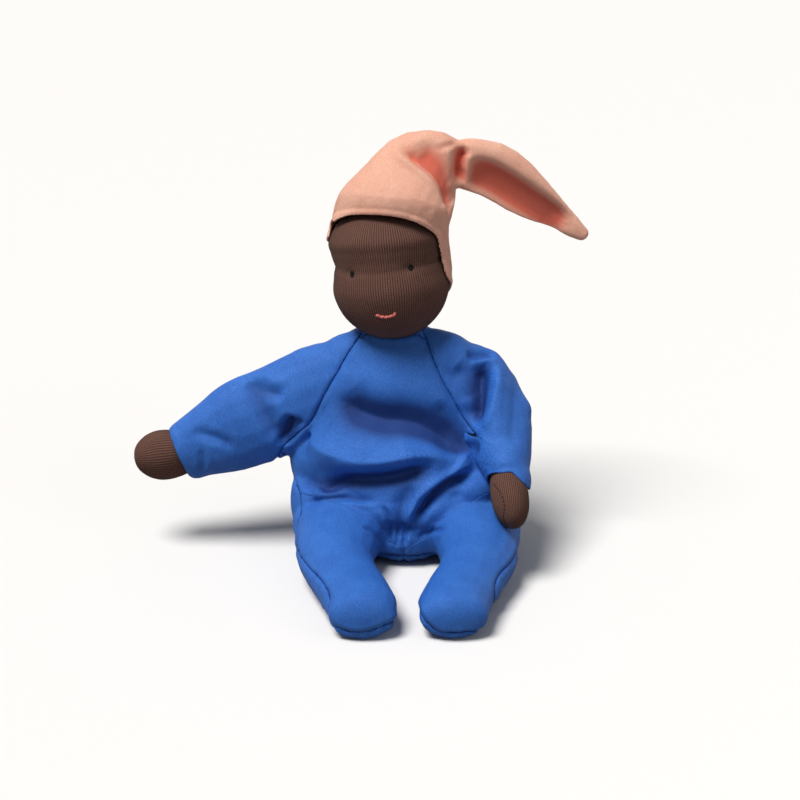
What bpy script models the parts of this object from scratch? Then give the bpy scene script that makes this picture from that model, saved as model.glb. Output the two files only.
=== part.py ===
"""A seated cloth baby doll of the Waldorf kind, in metres, +Z up, facing -Y.

A woven suit with raglan sleeves and closed feet is filled with wool. The head is a wound wool ball
in a gauze tube, tied at the eye line and covered with rib knit. Knit mitten hands sit in the cuffs,
and a long pointed cap is sewn round the head, its tail folded over to the doll's left. The origin is
on the floor, under the crotch.

Every limb is one loft from a round root, which turns in a round socket, to its tip.
"""

import math

import bmesh
import bpy
from mathutils import Euler, Matrix, Vector

# Cloth, knit and clearances
SUIT_CLOTH = 0.0011
SKIN_KNIT = 0.0012
CAP_CLOTH = 0.0012
GAUZE = 0.0008
GAP = 0.0003
SOCKET_GAP = 0.0007
REST_DEPTH = 0.0005

# How far the cutting shapes reach past what they cut
OVERRUN = 0.020
LIMB_SWEEP = 0.080
TAIL_SWEEP = 0.040
CUT_WIDE = 0.100
CUT_LONG = 0.160

# Torso: for each ring its height, sideways lean, set to the back, half width and half depth
SEAT_HALF_WIDTH = 0.0460
SEAT_HALF_DEPTH = 0.0270
SEAT_SET = 0.0015
EDGE_HEIGHT = 0.0075
EDGE_HALF_WIDTH = 0.0530
EDGE_HALF_DEPTH = 0.0320
EDGE_SET = 0.0010
HIP_HEIGHT = 0.0240
HIP_HALF_WIDTH = 0.0560
HIP_HALF_DEPTH = 0.0345
HIP_SET = -0.0010
BELLY_HEIGHT = 0.0460
BELLY_LEAN = -0.0030
BELLY_HALF_WIDTH = 0.0540
BELLY_HALF_DEPTH = 0.0355
BELLY_SET = -0.0025
CHEST_HEIGHT = 0.0720
CHEST_LEAN = -0.0080
CHEST_HALF_WIDTH = 0.0440
CHEST_HALF_DEPTH = 0.0300
CHEST_SET = -0.0010
YOKE_HEIGHT = 0.0955
YOKE_LEAN = -0.0085
YOKE_HALF_WIDTH = 0.0360
YOKE_HALF_DEPTH = 0.0215
YOKE_SET = 0.0005
COLLAR_HEIGHT = 0.1090
COLLAR_HALF_WIDTH = 0.0200
COLLAR_HALF_DEPTH = 0.0140
COLLAR_RISE = 0.0020
TORSO_SEAM_SET = -0.0060
TORSO_SIDES = 22

# Neck, measured from the collar's height
NECK_X = -0.0070
NECK_Y = 0.0010
NECK_RADIUS = 0.0078
NECK_FOOT_DROP = 0.0130
NECK_BALL_RISE = 0.0100
NECK_BALL_RADIUS = 0.0094
NECK_SWING_RADIUS = 0.0122
NECK_SWING_DEPTH = 0.0130
NECK_SIDES = 16
TIE_RADIUS = 0.0005

# Head: centre, its height above the collar, turn, and for each ring its height above the centre and radius
HEAD_X = -0.0079
HEAD_Y = 0.0
HEAD_RISE = 0.0366
HEAD_ROLL = -7.0
HEAD_LEAN = -9.0
HEAD_YAW = -11.0
HEAD_DEPTH_SHARE = 1.03
THROAT_DROP = 0.0330
THROAT_RADIUS = 0.0080
CHIN_DROP = 0.0285
CHIN_RADIUS = 0.0170
JAW_DROP = 0.0210
JAW_RADIUS = 0.0243
CHEEK_DROP = 0.0100
CHEEK_RADIUS = 0.0281
EYE_LINE_RISE = 0.0040
EYE_LINE_RADIUS = 0.0266
BROW_RISE = 0.0160
BROW_RADIUS = 0.0280
TEMPLE_RISE = 0.0255
TEMPLE_RADIUS = 0.0215
SCALP_RISE = 0.0315
SCALP_RADIUS = 0.0110
TOP_RISE = 0.0335
HEAD_SIDES = 20
EYE_THREAD_RADIUS = 0.0004
EYE_OFFSET = 0.0145
EYE_RADIUS = 0.0012
EYE_TOP_RADIUS = 0.0007
EYE_TOP_RISE = 0.00025
EYE_HALF_PROUD = 0.00035
MOUTH_DROP = 0.0190
MOUTH_HALF_WIDTH = 0.0050
MOUTH_DIP = 0.0014
MOUTH_THREAD_RADIUS = 0.0005

# Cap: rings that follow the head, then rings that fan round the inner corner of the fold
CAP_EASE = 0.0017
CAP_HEM_DROP = 0.0240
CAP_HEM_RADIUS = 0.0228
CAP_BACK_DROP = 0.0110
CAP_CROWN_RISE = 0.0150
CAP_TEMPLE_RISE = 0.0210
CAP_TEMPLE_RADIUS = 0.0268
CAP_TEMPLE_SHIFT = 0.0015
CAP_CORNER_X = 0.0240
CAP_CORNER_Y = 0.0050
CAP_CORNER_RISE = 0.0387
CAP_LOW_REACH = 0.0540
CAP_LOW_DEPTH = 0.0260
CAP_LOW_FALL = 0.0080
CAP_LOW_ANGLE = 4.0
CAP_SLOPE_REACH = 0.0465
CAP_SLOPE_DEPTH = 0.0215
CAP_SLOPE_FALL = 0.0035
CAP_SLOPE_ANGLE = 15.0
CAP_PEAK_REACH = 0.0410
CAP_PEAK_DEPTH = 0.0155
CAP_PEAK_FALL = 0.0014
CAP_PEAK_ANGLE = 37.0
CAP_BEND_REACH = 0.0330
CAP_BEND_DEPTH = 0.0105
CAP_BEND_FALL = 0.0006
CAP_BEND_ANGLE = 62.0
CAP_FOLD_REACH = 0.0255
CAP_FOLD_DEPTH = 0.0070
CAP_FOLD_ANGLE = 90.0
CAP_SIDES = 20
FACE_HALF_WIDTH = 0.0450
FACE_HALF_HEIGHT = 0.0410
FACE_DROP = 0.0142
FACE_BACK = 0.0020
FACE_SLANT = 11.0

# Cap's tail: the places of its middle line, measured up or down from the fold's inner corner, and its
# half heights and half thicknesses
TAIL_ROOT_X = 0.0265
TAIL_ROOT_RISE = 0.0127
TAIL_ROOT_RADIUS = 0.0128
TAIL_ROOT_HALF = 0.0062
TAIL_UPPER_X = 0.0415
TAIL_UPPER_RISE = 0.0089
TAIL_UPPER_RADIUS = 0.0142
TAIL_UPPER_HALF = 0.0058
TAIL_MIDDLE_X = 0.0545
TAIL_MIDDLE_RISE = 0.0004
TAIL_MIDDLE_RADIUS = 0.0134
TAIL_MIDDLE_HALF = 0.0050
TAIL_LOWER_X = 0.0705
TAIL_LOWER_DROP = 0.0121
TAIL_LOWER_RADIUS = 0.0088
TAIL_LOWER_HALF = 0.0040
TAIL_END_X = 0.0860
TAIL_END_DROP = 0.0233
TAIL_END_RADIUS = 0.0034
TAIL_END_HALF = 0.0024
TAIL_TIP_ROUND = 0.0022
TAIL_Y = 0.0050
TAIL_BORE_RADIUS = 0.0036
TAIL_SIDES = 14
TAIL_DROOP = 14.0
TAIL_LIFT = 34.0

# Arms: half sizes that both share, along the shoulder's axis and across it
SHOULDER_HALF = 0.0180
SHOULDER_RADIUS = 0.0240
UPPER_ARM_HALF = 0.0172
UPPER_ARM_RADIUS = 0.0236
ELBOW_HALF = 0.0145
ELBOW_RADIUS = 0.0212
CUFF_HALF = 0.0110
CUFF_RADIUS = 0.0140
ARM_SIDES = 16

# Right arm, reaching out to the side
RIGHT_SHOULDER_X = -0.0435
RIGHT_SHOULDER_Y = 0.0
RIGHT_SHOULDER_HEIGHT = 0.0820
RIGHT_UPPER_X = -0.0655
RIGHT_UPPER_Y = -0.0010
RIGHT_UPPER_HEIGHT = 0.0715
RIGHT_ELBOW_X = -0.0900
RIGHT_ELBOW_Y = -0.0030
RIGHT_ELBOW_HEIGHT = 0.0605
RIGHT_CUFF_X = -0.1140
RIGHT_CUFF_Y = -0.0050
RIGHT_CUFF_HEIGHT = 0.0510
RIGHT_ARM_LOW = 14.0
RIGHT_ARM_HIGH = 68.0

# Left arm, hanging forward with its hand on the thigh, and how far its socket opens in degrees
LEFT_SHOULDER_X = 0.0275
LEFT_SHOULDER_Y = 0.0
LEFT_SHOULDER_HEIGHT = 0.0820
LEFT_UPPER_X = 0.0415
LEFT_UPPER_Y = -0.0060
LEFT_UPPER_HEIGHT = 0.0755
LEFT_UPPER_RADIUS = 0.0205
LEFT_ELBOW_X = 0.0480
LEFT_ELBOW_Y = -0.0190
LEFT_ELBOW_HEIGHT = 0.0630
LEFT_ELBOW_HALF = 0.0160
LEFT_ELBOW_RADIUS = 0.0155
LEFT_CUFF_X = 0.0490
LEFT_CUFF_Y = -0.0345
LEFT_CUFF_HEIGHT = 0.0495
LEFT_CUFF_HALF = 0.0135
LEFT_CUFF_RADIUS = 0.0102
LEFT_SOCKET_UP = 56.0
LEFT_SOCKET_DOWN = 20.0

# Hands: half sizes along the wrist's axis and across it
WRIST_REACH = 0.0020
WRIST_HALF = 0.0088
WRIST_RADIUS = 0.0122
LEFT_WRIST_HALF = 0.0080
LEFT_WRIST_RADIUS = 0.0116
PALM_REACH = 0.0080
PALM_HALF = 0.0092
PALM_RADIUS = 0.0126
FINGER_REACH = 0.0150
FINGER_HALF = 0.0080
FINGER_RADIUS = 0.0102
HAND_TIP_ROUND = 0.0062
HAND_SIDES = 12
HAND_KNIT = 0.0009
RIGHT_HAND_DROP = 0.0017
LEFT_HAND_FORWARD_SHARE = 0.72
LEFT_HAND_DOWN_SHARE = 0.70
HAND_TIE_RING = 0.0030
HAND_TIE_ROOM = 0.0030

# Legs: for each ring its distance in front of the hip, distance from the middle, height and half sizes;
# the hip's socket opens downwards by an angle in degrees
HIP_X = 0.0315
HIP_Y = -0.0060
LEG_HIP_HEIGHT = 0.0203
HIP_HALF = 0.0265
HIP_RADIUS = 0.0208
THIGH_AHEAD = 0.0240
THIGH_X = 0.0332
THIGH_HEIGHT = 0.0180
THIGH_HALF = 0.0230
THIGH_RADIUS = 0.0185
KNEE_AHEAD = 0.0500
KNEE_X = 0.0350
KNEE_HEIGHT = 0.0147
KNEE_HALF = 0.0184
KNEE_RADIUS = 0.0152
ANKLE_AHEAD = 0.0740
ANKLE_X = 0.0275
ANKLE_HEIGHT = 0.0124
ANKLE_HALF = 0.0178
ANKLE_RADIUS = 0.0129
FOOT_AHEAD = 0.0930
FOOT_X = 0.0218
FOOT_HEIGHT = 0.0122
FOOT_HALF = 0.0172
FOOT_RADIUS = 0.0127
TOE_AHEAD = 0.1040
TOE_X = 0.0212
TOE_HEIGHT = 0.0114
TOE_HALF = 0.0160
TOE_RADIUS = 0.0119
TOE_ROUND = 0.0066
LEG_SEAM_HEIGHT = 0.0095
LEG_SIDES = 16
HIP_DOWN = 87.0

# Heights that follow from the collar's
NECK_FOOT_HEIGHT = COLLAR_HEIGHT - NECK_FOOT_DROP
NECK_BALL_HEIGHT = COLLAR_HEIGHT + NECK_BALL_RISE
HEAD_HEIGHT = COLLAR_HEIGHT + HEAD_RISE
CAP_CORNER_HEIGHT = HEAD_HEIGHT + CAP_CORNER_RISE

# Mesh counts
ROOT_RINGS = 3
SOCKET_SLICES = 8
ARC_STEP = 15.0
RIGHT_ANGLE = 90.0
SPHERE_RINGS = 6
THREAD_SIDES = 6
EYE_SIDES = 10
BORE_SIDES = 12
FACE_SIDES = 40
MOUTH_STEPS = 7

X_AXIS = Vector((1, 0, 0))
Y_AXIS = Vector((0, 1, 0))
Z_AXIS = Vector((0, 0, 1))

SUIT_BLUE = (0.030, 0.115, 0.440, 1)
SUIT_BLUE_BACK = (0.026, 0.100, 0.390, 1)
WOOL = (0.780, 0.720, 0.610, 1)
GAUZE_WHITE = (0.850, 0.830, 0.780, 1)
SKIN_BROWN = (0.060, 0.028, 0.020, 1)
CAP_SALMON = (0.860, 0.290, 0.190, 1)
THREAD_BLACK = (0.010, 0.008, 0.008, 1)
THREAD_WHITE = (0.800, 0.780, 0.720, 1)
THREAD_CORAL = (0.720, 0.140, 0.110, 1)


def clear_scene():
    for obj in list(bpy.data.objects):
        bpy.data.objects.remove(obj, do_unlink=True)


def fabric(name, colour, roughness):
    """A matte Principled material; nothing on the doll is metal."""
    material = bpy.data.materials.new(name)
    material.use_nodes = True
    shader = material.node_tree.nodes["Principled BSDF"]
    shader.inputs["Base Color"].default_value = colour
    shader.inputs["Roughness"].default_value = roughness
    shader.inputs["Metallic"].default_value = 0.0
    material.diffuse_color = colour
    return material


def add_joint(name, place, parent=None):
    """An empty on a joint's axis, which carries every piece of one body."""
    empty = bpy.data.objects.new(name, None)
    bpy.context.scene.collection.objects.link(empty)
    empty["place"] = tuple(place)
    empty.parent = parent
    carried = Vector(parent["place"]) if parent else Vector()
    empty.location = Vector(place) - carried
    return empty


def add_solid(name, shape, joint, material):
    """Links a bmesh given in world places as a smooth object with its origin on its joint."""
    bmesh.ops.recalc_face_normals(shape, faces=shape.faces)
    bmesh.ops.translate(shape, verts=shape.verts, vec=-Vector(joint["place"]))
    mesh = bpy.data.meshes.new(name)
    shape.to_mesh(mesh)
    shape.free()
    mesh.shade_smooth()
    obj = bpy.data.objects.new(name, mesh)
    bpy.context.scene.collection.objects.link(obj)
    obj.parent = joint
    if material:
        mesh.materials.append(material)
    return obj


def add_cutter(name, shape, joint):
    cutter = add_solid(name, shape, joint, None)
    cutter.hide_render = True
    cutter.display_type = "WIRE"
    return cutter


def cut(obj, cutters):
    for cutter in cutters:
        modifier = obj.modifiers.new("cut by " + cutter.name, "BOOLEAN")
        modifier.operation = "DIFFERENCE"
        modifier.solver = "EXACT"
        modifier.object = cutter


def smooth_rows(rows, steps):
    """Rows of numbers joined by Catmull-Rom spans, so that every size changes smoothly."""
    out = []
    for index in range(len(rows) - 1):
        before = rows[max(index - 1, 0)]
        here, there = rows[index], rows[index + 1]
        after = rows[min(index + 2, len(rows) - 1)]
        for step in range(steps):
            t = step / steps
            spans = zip(before, here, there, after)
            out.append(tuple(catmull_rom(a, b, c, d, t) for a, b, c, d in spans))
    out.append(rows[-1])
    return out


def catmull_rom(a, b, c, d, t):
    bend = (2 * a - 5 * b + 4 * c - d) * t * t
    twist = (3 * b - a - 3 * c + d) * t * t * t
    return (2 * b + (c - a) * t + bend + twist) / 2


def ring_points(centre, across, up, half_across, half_up, sides):
    """One oval ring of places."""
    out = []
    for side in range(sides):
        angle = 2 * math.pi * side / sides
        out.append(centre + across * (half_across * math.cos(angle)) + up * (half_up * math.sin(angle)))
    return out


def skin_rings(rings, first, last):
    """A closed skin over rings of places, with a point that closes each end."""
    shape = bmesh.new()
    bands = [[shape.verts.new(place) for place in ring] for ring in rings]
    sides = len(bands[0])
    start, end = shape.verts.new(first), shape.verts.new(last)
    for side in range(sides):
        after = (side + 1) % sides
        shape.faces.new((start, bands[0][side], bands[0][after]))
        shape.faces.new((end, bands[-1][after], bands[-1][side]))
        for low, high in zip(bands, bands[1:]):
            shape.faces.new((low[side], high[side], high[after]))
            shape.faces.new((low[side], high[after], low[after]))
    return shape


def block(low, high):
    """A box between two corners."""
    shape = bmesh.new()
    bmesh.ops.create_cube(shape, size=1.0)
    size = Vector(high) - Vector(low)
    bmesh.ops.scale(shape, verts=shape.verts, vec=size)
    bmesh.ops.translate(shape, verts=shape.verts, vec=Vector(low) + size / 2)
    return shape


def lathe(outline, sides):
    """A turned solid from (radius, height) places that start and end on the axis."""
    rings = [ring_points(Vector((0, 0, height)), X_AXIS, Y_AXIS, radius, radius, sides)
             for radius, height in outline[1:-1]]
    return skin_rings(rings, Vector((0, 0, outline[0][1])), Vector((0, 0, outline[-1][1])))


def rod(radius, length):
    return lathe(((0.0, 0.0), (radius, 0.0), (radius, length), (0.0, length)), BORE_SIDES)


def torus(ring_radius, thread_radius, sides):
    shape = bmesh.new()
    bands = []
    for side in range(sides):
        turn = Matrix.Rotation(2 * math.pi * side / sides, 3, "Z")
        section = ring_points(X_AXIS * ring_radius, X_AXIS, Z_AXIS, thread_radius, thread_radius, THREAD_SIDES)
        bands.append([shape.verts.new(turn @ place) for place in section])
    for here, there in zip(bands, bands[1:] + bands[:1]):
        for side in range(THREAD_SIDES):
            after = (side + 1) % THREAD_SIDES
            shape.faces.new((here[side], here[after], there[after], there[side]))
    return shape


def place_shape(shape, turn, centre):
    """Turns a shape made round the origin and moves it to its place."""
    bmesh.ops.transform(shape, matrix=Matrix.Translation(centre) @ turn.to_4x4(), verts=shape.verts)
    return shape


def limb(rows, hinge, sides, grow=0.0, tip=0.0, reach=0.0, rooted=True):
    """A loft from a round root, which turns about the hinge, along rows of sizes.

    A row is (x, y, z, half size along the hinge, radius across it). grow sets the skin out or in, tip rounds
    the far end by its length, and reach makes a flat far end run on. A limb that isn't rooted starts flat
    at its first row.
    """
    places = [Vector(row[:3]) for row in rows]
    start, end = places[1] - places[0], (places[-1] - places[-2]).normalized()
    start = (start - hinge * start.dot(hinge)).normalized()
    tangents = [start.slerp(end, index / (len(places) - 1)) for index in range(len(places))]
    root_half, root_radius = rows[0][3] + grow, rows[0][4] + grow
    rings = []
    for step in range(1, ROOT_RINGS + 1):
        angle = math.pi / 2 * (1 - step / (ROOT_RINGS + 1))
        centre = places[0] - tangents[0] * (root_radius * math.sin(angle))
        rings.append(ring_points(centre, hinge, tangents[0].cross(hinge),
                                 root_half * math.cos(angle), root_radius * math.cos(angle), sides))
    for place, tangent, row in zip(places, tangents, rows):
        across = (hinge - tangent * hinge.dot(tangent)).normalized()
        rings.append(ring_points(place, across, tangent.cross(across), row[3] + grow, row[4] + grow, sides))
    far, across = tangents[-1], (hinge - tangents[-1] * hinge.dot(tangents[-1])).normalized()
    end_half, end_radius = rows[-1][3] + grow, rows[-1][4] + grow
    last = places[-1]
    if tip:
        length = tip + grow
        for step in range(1, ROOT_RINGS + 1):
            angle = math.pi / 2 * step / (ROOT_RINGS + 1)
            centre = places[-1] + far * (length * math.sin(angle))
            rings.append(ring_points(centre, across, far.cross(across),
                                     end_half * math.cos(angle), end_radius * math.cos(angle), sides))
        last = places[-1] + far * length
    elif reach:
        last = places[-1] + far * reach
        rings.append(ring_points(last, across, far.cross(across), end_half, end_radius, sides))
    if rooted:
        return skin_rings(rings, places[0] - tangents[0] * root_radius, last)
    return skin_rings(rings[ROOT_RINGS:], places[0], last)


def socket(centre, hinge, first, half, radius, low, high, ahead=LIMB_SWEEP, gap=SOCKET_GAP):
    """The room that a limb sweeps: a round socket about the hinge, open between two angles in degrees.

    first is the direction of angle zero, and angles turn from it towards hinge x first.
    """
    second = hinge.cross(first)
    half, radius = half + gap, radius + gap
    start, end = high + RIGHT_ANGLE, low + 3 * RIGHT_ANGLE
    steps = max(2, round((end - start) / ARC_STEP))

    def toward(degrees):
        return first * math.cos(math.radians(degrees)) + second * math.sin(math.radians(degrees))

    shape = bmesh.new()
    bands = []
    for index in range(SOCKET_SLICES + 1):
        share = -math.cos(math.pi * index / SOCKET_SLICES)
        middle = centre + hinge * (half * share)
        size = max(radius * math.sqrt(1 - share * share), GAP)
        places = [middle + toward(start + (end - start) * step / steps) * size for step in range(steps + 1)]
        places.append(places[-1] + toward(low) * ahead)
        places.append(middle + toward((low + high) / 2) * (ahead + ahead))
        places.append(places[0] + toward(high) * ahead)
        bands.append([shape.verts.new(place) for place in places])
    count = len(bands[0])
    for here, there in zip(bands, bands[1:]):
        for side in range(count):
            after = (side + 1) % count
            shape.faces.new((here[side], here[after], there[after], there[side]))
    shape.faces.new(bands[0])
    shape.faces.new(list(reversed(bands[-1])))
    return shape


def torso_form(grow, rest):
    """The trunk: a wide seat, a crowned belly, and a chest that slopes to the collar."""
    rows = (
        (rest, 0.0, SEAT_SET, SEAT_HALF_WIDTH, SEAT_HALF_DEPTH),
        (EDGE_HEIGHT, 0.0, EDGE_SET, EDGE_HALF_WIDTH, EDGE_HALF_DEPTH),
        (HIP_HEIGHT, 0.0, HIP_SET, HIP_HALF_WIDTH, HIP_HALF_DEPTH),
        (BELLY_HEIGHT, BELLY_LEAN, BELLY_SET, BELLY_HALF_WIDTH, BELLY_HALF_DEPTH),
        (CHEST_HEIGHT, CHEST_LEAN, CHEST_SET, CHEST_HALF_WIDTH, CHEST_HALF_DEPTH),
        (YOKE_HEIGHT, YOKE_LEAN, YOKE_SET, YOKE_HALF_WIDTH, YOKE_HALF_DEPTH),
        (COLLAR_HEIGHT, NECK_X, NECK_Y, COLLAR_HALF_WIDTH, COLLAR_HALF_DEPTH),
    )
    rows = smooth_rows(rows, 2)
    rings = [ring_points(Vector((lean, back, height)), X_AXIS, Y_AXIS, width + grow, depth + grow, TORSO_SIDES)
             for height, lean, back, width, depth in rows]
    top = Vector((NECK_X, NECK_Y, COLLAR_HEIGHT + COLLAR_RISE + grow))
    return skin_rings(rings, Vector((0, SEAT_SET, rest)), top)


def head_turn():
    return Euler([math.radians(angle) for angle in (HEAD_LEAN, HEAD_ROLL, HEAD_YAW)], "XYZ").to_matrix()


def head_place(x, y, z):
    return Vector((HEAD_X, HEAD_Y, HEAD_HEIGHT)) + head_turn() @ Vector((x, y, z))


def head_rows(grow, pinch=0.0):
    """Rows of (height above the head's centre, radius), from the throat to the top."""
    rows = (
        (-THROAT_DROP - grow, THROAT_RADIUS),
        (-CHIN_DROP - grow / 2, CHIN_RADIUS + grow),
        (-JAW_DROP, JAW_RADIUS + grow),
        (-CHEEK_DROP, CHEEK_RADIUS + grow),
        (EYE_LINE_RISE, EYE_LINE_RADIUS + grow - pinch),
        (BROW_RISE, BROW_RADIUS + grow),
        (TEMPLE_RISE + grow / 2, TEMPLE_RADIUS + grow),
        (SCALP_RISE + grow, SCALP_RADIUS + grow),
    )
    return smooth_rows(rows, 2)


def head_form(grow, pinch=0.0):
    turn = head_turn()
    rings = [ring_points(head_place(0, 0, height), turn @ X_AXIS, turn @ Y_AXIS,
                         radius, radius * HEAD_DEPTH_SHARE, HEAD_SIDES)
             for height, radius in head_rows(grow, pinch)]
    return skin_rings(rings, head_place(0, 0, -THROAT_DROP - grow), head_place(0, 0, TOP_RISE + grow))


def head_radius_at(height):
    rows = head_rows(0.0)
    for (low, small), (high, large) in zip(rows, rows[1:]):
        if low <= height <= high:
            return small + (large - small) * (height - low) / (high - low)
    return 0.0


def face_place(x, height, proud):
    """A place on the face, at a sideways distance and a height from the head's centre."""
    radius = head_radius_at(height)
    depth = HEAD_DEPTH_SHARE * math.sqrt(radius * radius - x * x)
    return head_place(x, -depth - proud, height)


def cap_rings(grow):
    """Rings round the head in its own turn, then upright rings that fan round the fold's inner corner."""
    turn = head_turn()
    rings = []
    along_head = smooth_rows((
        (-CAP_HEM_DROP, CAP_HEM_RADIUS, 0.0),
        (-CAP_BACK_DROP, CHEEK_RADIUS, 0.0),
        (EYE_LINE_RISE, CHEEK_RADIUS, 0.0),
        (CAP_CROWN_RISE, BROW_RADIUS, 0.0),
        (CAP_TEMPLE_RISE, CAP_TEMPLE_RADIUS, CAP_TEMPLE_SHIFT),
    ), 2)
    for height, radius, shift in along_head:
        loose = radius + CAP_EASE
        rings.append(ring_points(head_place(shift, 0, height), turn @ X_AXIS, turn @ Y_AXIS,
                                 loose + grow, loose * HEAD_DEPTH_SHARE + grow, CAP_SIDES))
    fan = smooth_rows((
        (CAP_LOW_ANGLE, CAP_LOW_REACH, CAP_LOW_DEPTH, CAP_LOW_FALL, HEAD_Y),
        (CAP_SLOPE_ANGLE, CAP_SLOPE_REACH, CAP_SLOPE_DEPTH, CAP_SLOPE_FALL, HEAD_Y),
        (CAP_PEAK_ANGLE, CAP_PEAK_REACH, CAP_PEAK_DEPTH, CAP_PEAK_FALL, CAP_CORNER_Y),
        (CAP_BEND_ANGLE, CAP_BEND_REACH, CAP_BEND_DEPTH, CAP_BEND_FALL, CAP_CORNER_Y),
        (CAP_FOLD_ANGLE, CAP_FOLD_REACH, CAP_FOLD_DEPTH, 0.0, CAP_CORNER_Y),
    ), 2)
    for angle, length, depth, fall, back in fan:
        outward = Vector((-math.cos(math.radians(angle)), 0, math.sin(math.radians(angle))))
        corner = Vector((CAP_CORNER_X, back, CAP_CORNER_HEIGHT - fall))
        rings.append(ring_points(corner + outward * (length / 2), -outward, Y_AXIS,
                                 length / 2 + grow, depth + grow, CAP_SIDES))
    return rings


def cap_form(grow, overrun=0.0):
    rings = cap_rings(grow)
    first = head_place(0, 0, -CAP_HEM_DROP - overrun)
    fold = Vector((CAP_CORNER_X, CAP_CORNER_Y, CAP_CORNER_HEIGHT + CAP_FOLD_REACH / 2))
    if overrun:
        down = head_turn() @ Z_AXIS * overrun
        rings.insert(0, [place - down for place in rings[0]])
        rings.append([place + X_AXIS * overrun for place in rings[-1]])
        fold = fold + X_AXIS * overrun
    return skin_rings(rings, first, fold)


def tail_rows():
    corner = CAP_CORNER_HEIGHT
    rows = (
        (TAIL_ROOT_X, TAIL_Y, corner + TAIL_ROOT_RISE, TAIL_ROOT_HALF, TAIL_ROOT_RADIUS),
        (TAIL_UPPER_X, TAIL_Y, corner + TAIL_UPPER_RISE, TAIL_UPPER_HALF, TAIL_UPPER_RADIUS),
        (TAIL_MIDDLE_X, TAIL_Y, corner + TAIL_MIDDLE_RISE, TAIL_MIDDLE_HALF, TAIL_MIDDLE_RADIUS),
        (TAIL_LOWER_X, TAIL_Y, corner - TAIL_LOWER_DROP, TAIL_LOWER_HALF, TAIL_LOWER_RADIUS),
        (TAIL_END_X, TAIL_Y, corner - TAIL_END_DROP, TAIL_END_HALF, TAIL_END_RADIUS),
    )
    return smooth_rows(rows, 2)


def right_arm_rows():
    rows = (
        (RIGHT_SHOULDER_X, RIGHT_SHOULDER_Y, RIGHT_SHOULDER_HEIGHT, SHOULDER_HALF, SHOULDER_RADIUS),
        (RIGHT_UPPER_X, RIGHT_UPPER_Y, RIGHT_UPPER_HEIGHT, UPPER_ARM_HALF, UPPER_ARM_RADIUS),
        (RIGHT_ELBOW_X, RIGHT_ELBOW_Y, RIGHT_ELBOW_HEIGHT, ELBOW_HALF, ELBOW_RADIUS),
        (RIGHT_CUFF_X, RIGHT_CUFF_Y, RIGHT_CUFF_HEIGHT, CUFF_HALF, CUFF_RADIUS),
    )
    return smooth_rows(rows, 2)


def left_arm_rows():
    rows = (
        (LEFT_SHOULDER_X, LEFT_SHOULDER_Y, LEFT_SHOULDER_HEIGHT, SHOULDER_HALF, SHOULDER_RADIUS),
        (LEFT_UPPER_X, LEFT_UPPER_Y, LEFT_UPPER_HEIGHT, UPPER_ARM_HALF, LEFT_UPPER_RADIUS),
        (LEFT_ELBOW_X, LEFT_ELBOW_Y, LEFT_ELBOW_HEIGHT, LEFT_ELBOW_HALF, LEFT_ELBOW_RADIUS),
        (LEFT_CUFF_X, LEFT_CUFF_Y, LEFT_CUFF_HEIGHT, LEFT_CUFF_HALF, LEFT_CUFF_RADIUS),
    )
    return smooth_rows(rows, 2)


def wrist_place(rows):
    """The wrist's pivot, just beyond the cuff's end."""
    before, end = Vector(rows[-2][:3]), Vector(rows[-1][:3])
    return end + (end - before).normalized() * WRIST_REACH


def hand_rows(wrist, aim, wrist_half, wrist_radius):
    aim = aim.normalized()
    share = wrist_radius / WRIST_RADIUS
    rows = [(*wrist, wrist_half, wrist_radius),
            (*(wrist + aim * PALM_REACH), PALM_HALF * share, PALM_RADIUS * share),
            (*(wrist + aim * FINGER_REACH), FINGER_HALF * share, FINGER_RADIUS * share)]
    return smooth_rows(rows, 2)


def leg_rows(side):
    """The rows of one leg; side is -1 for the right leg and 1 for the left."""
    rows = (
        (side * HIP_X, HIP_Y, LEG_HIP_HEIGHT, HIP_HALF, HIP_RADIUS),
        (side * THIGH_X, HIP_Y - THIGH_AHEAD, THIGH_HEIGHT, THIGH_HALF, THIGH_RADIUS),
        (side * KNEE_X, HIP_Y - KNEE_AHEAD, KNEE_HEIGHT, KNEE_HALF, KNEE_RADIUS),
        (side * ANKLE_X, HIP_Y - ANKLE_AHEAD, ANKLE_HEIGHT, ANKLE_HALF, ANKLE_RADIUS),
        (side * FOOT_X, HIP_Y - FOOT_AHEAD, FOOT_HEIGHT, FOOT_HALF, FOOT_RADIUS),
        (side * TOE_X, HIP_Y - TOE_AHEAD, TOE_HEIGHT, TOE_HALF, TOE_RADIUS),
    )
    return smooth_rows(rows, 2)


def neck_outline(radius, ball_radius):
    """A stub that stands in the collar, with a ball on top that the head nods on."""
    outline = [(0.0, NECK_FOOT_HEIGHT), (radius, NECK_FOOT_HEIGHT)]
    start = -math.acos(min(1.0, radius / ball_radius))
    for step in range(SPHERE_RINGS):
        angle = start + (math.pi / 2 - start) * step / SPHERE_RINGS
        outline.append((ball_radius * math.cos(angle), NECK_BALL_HEIGHT + ball_radius * math.sin(angle)))
    outline.append((0.0, NECK_BALL_HEIGHT + ball_radius))
    return outline


def neck_room_outline():
    """The room in the head round the neck's ball, widening downwards so that the head can nod."""
    ball_radius = NECK_BALL_RADIUS + SOCKET_GAP
    low = NECK_BALL_HEIGHT - NECK_SWING_DEPTH
    outline = [(0.0, low), (NECK_SWING_RADIUS, low)]
    for step in range(SPHERE_RINGS):
        angle = math.pi / 2 * step / SPHERE_RINGS
        outline.append((ball_radius * math.cos(angle), NECK_BALL_HEIGHT + ball_radius * math.sin(angle)))
    outline.append((0.0, NECK_BALL_HEIGHT + ball_radius))
    return outline


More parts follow.
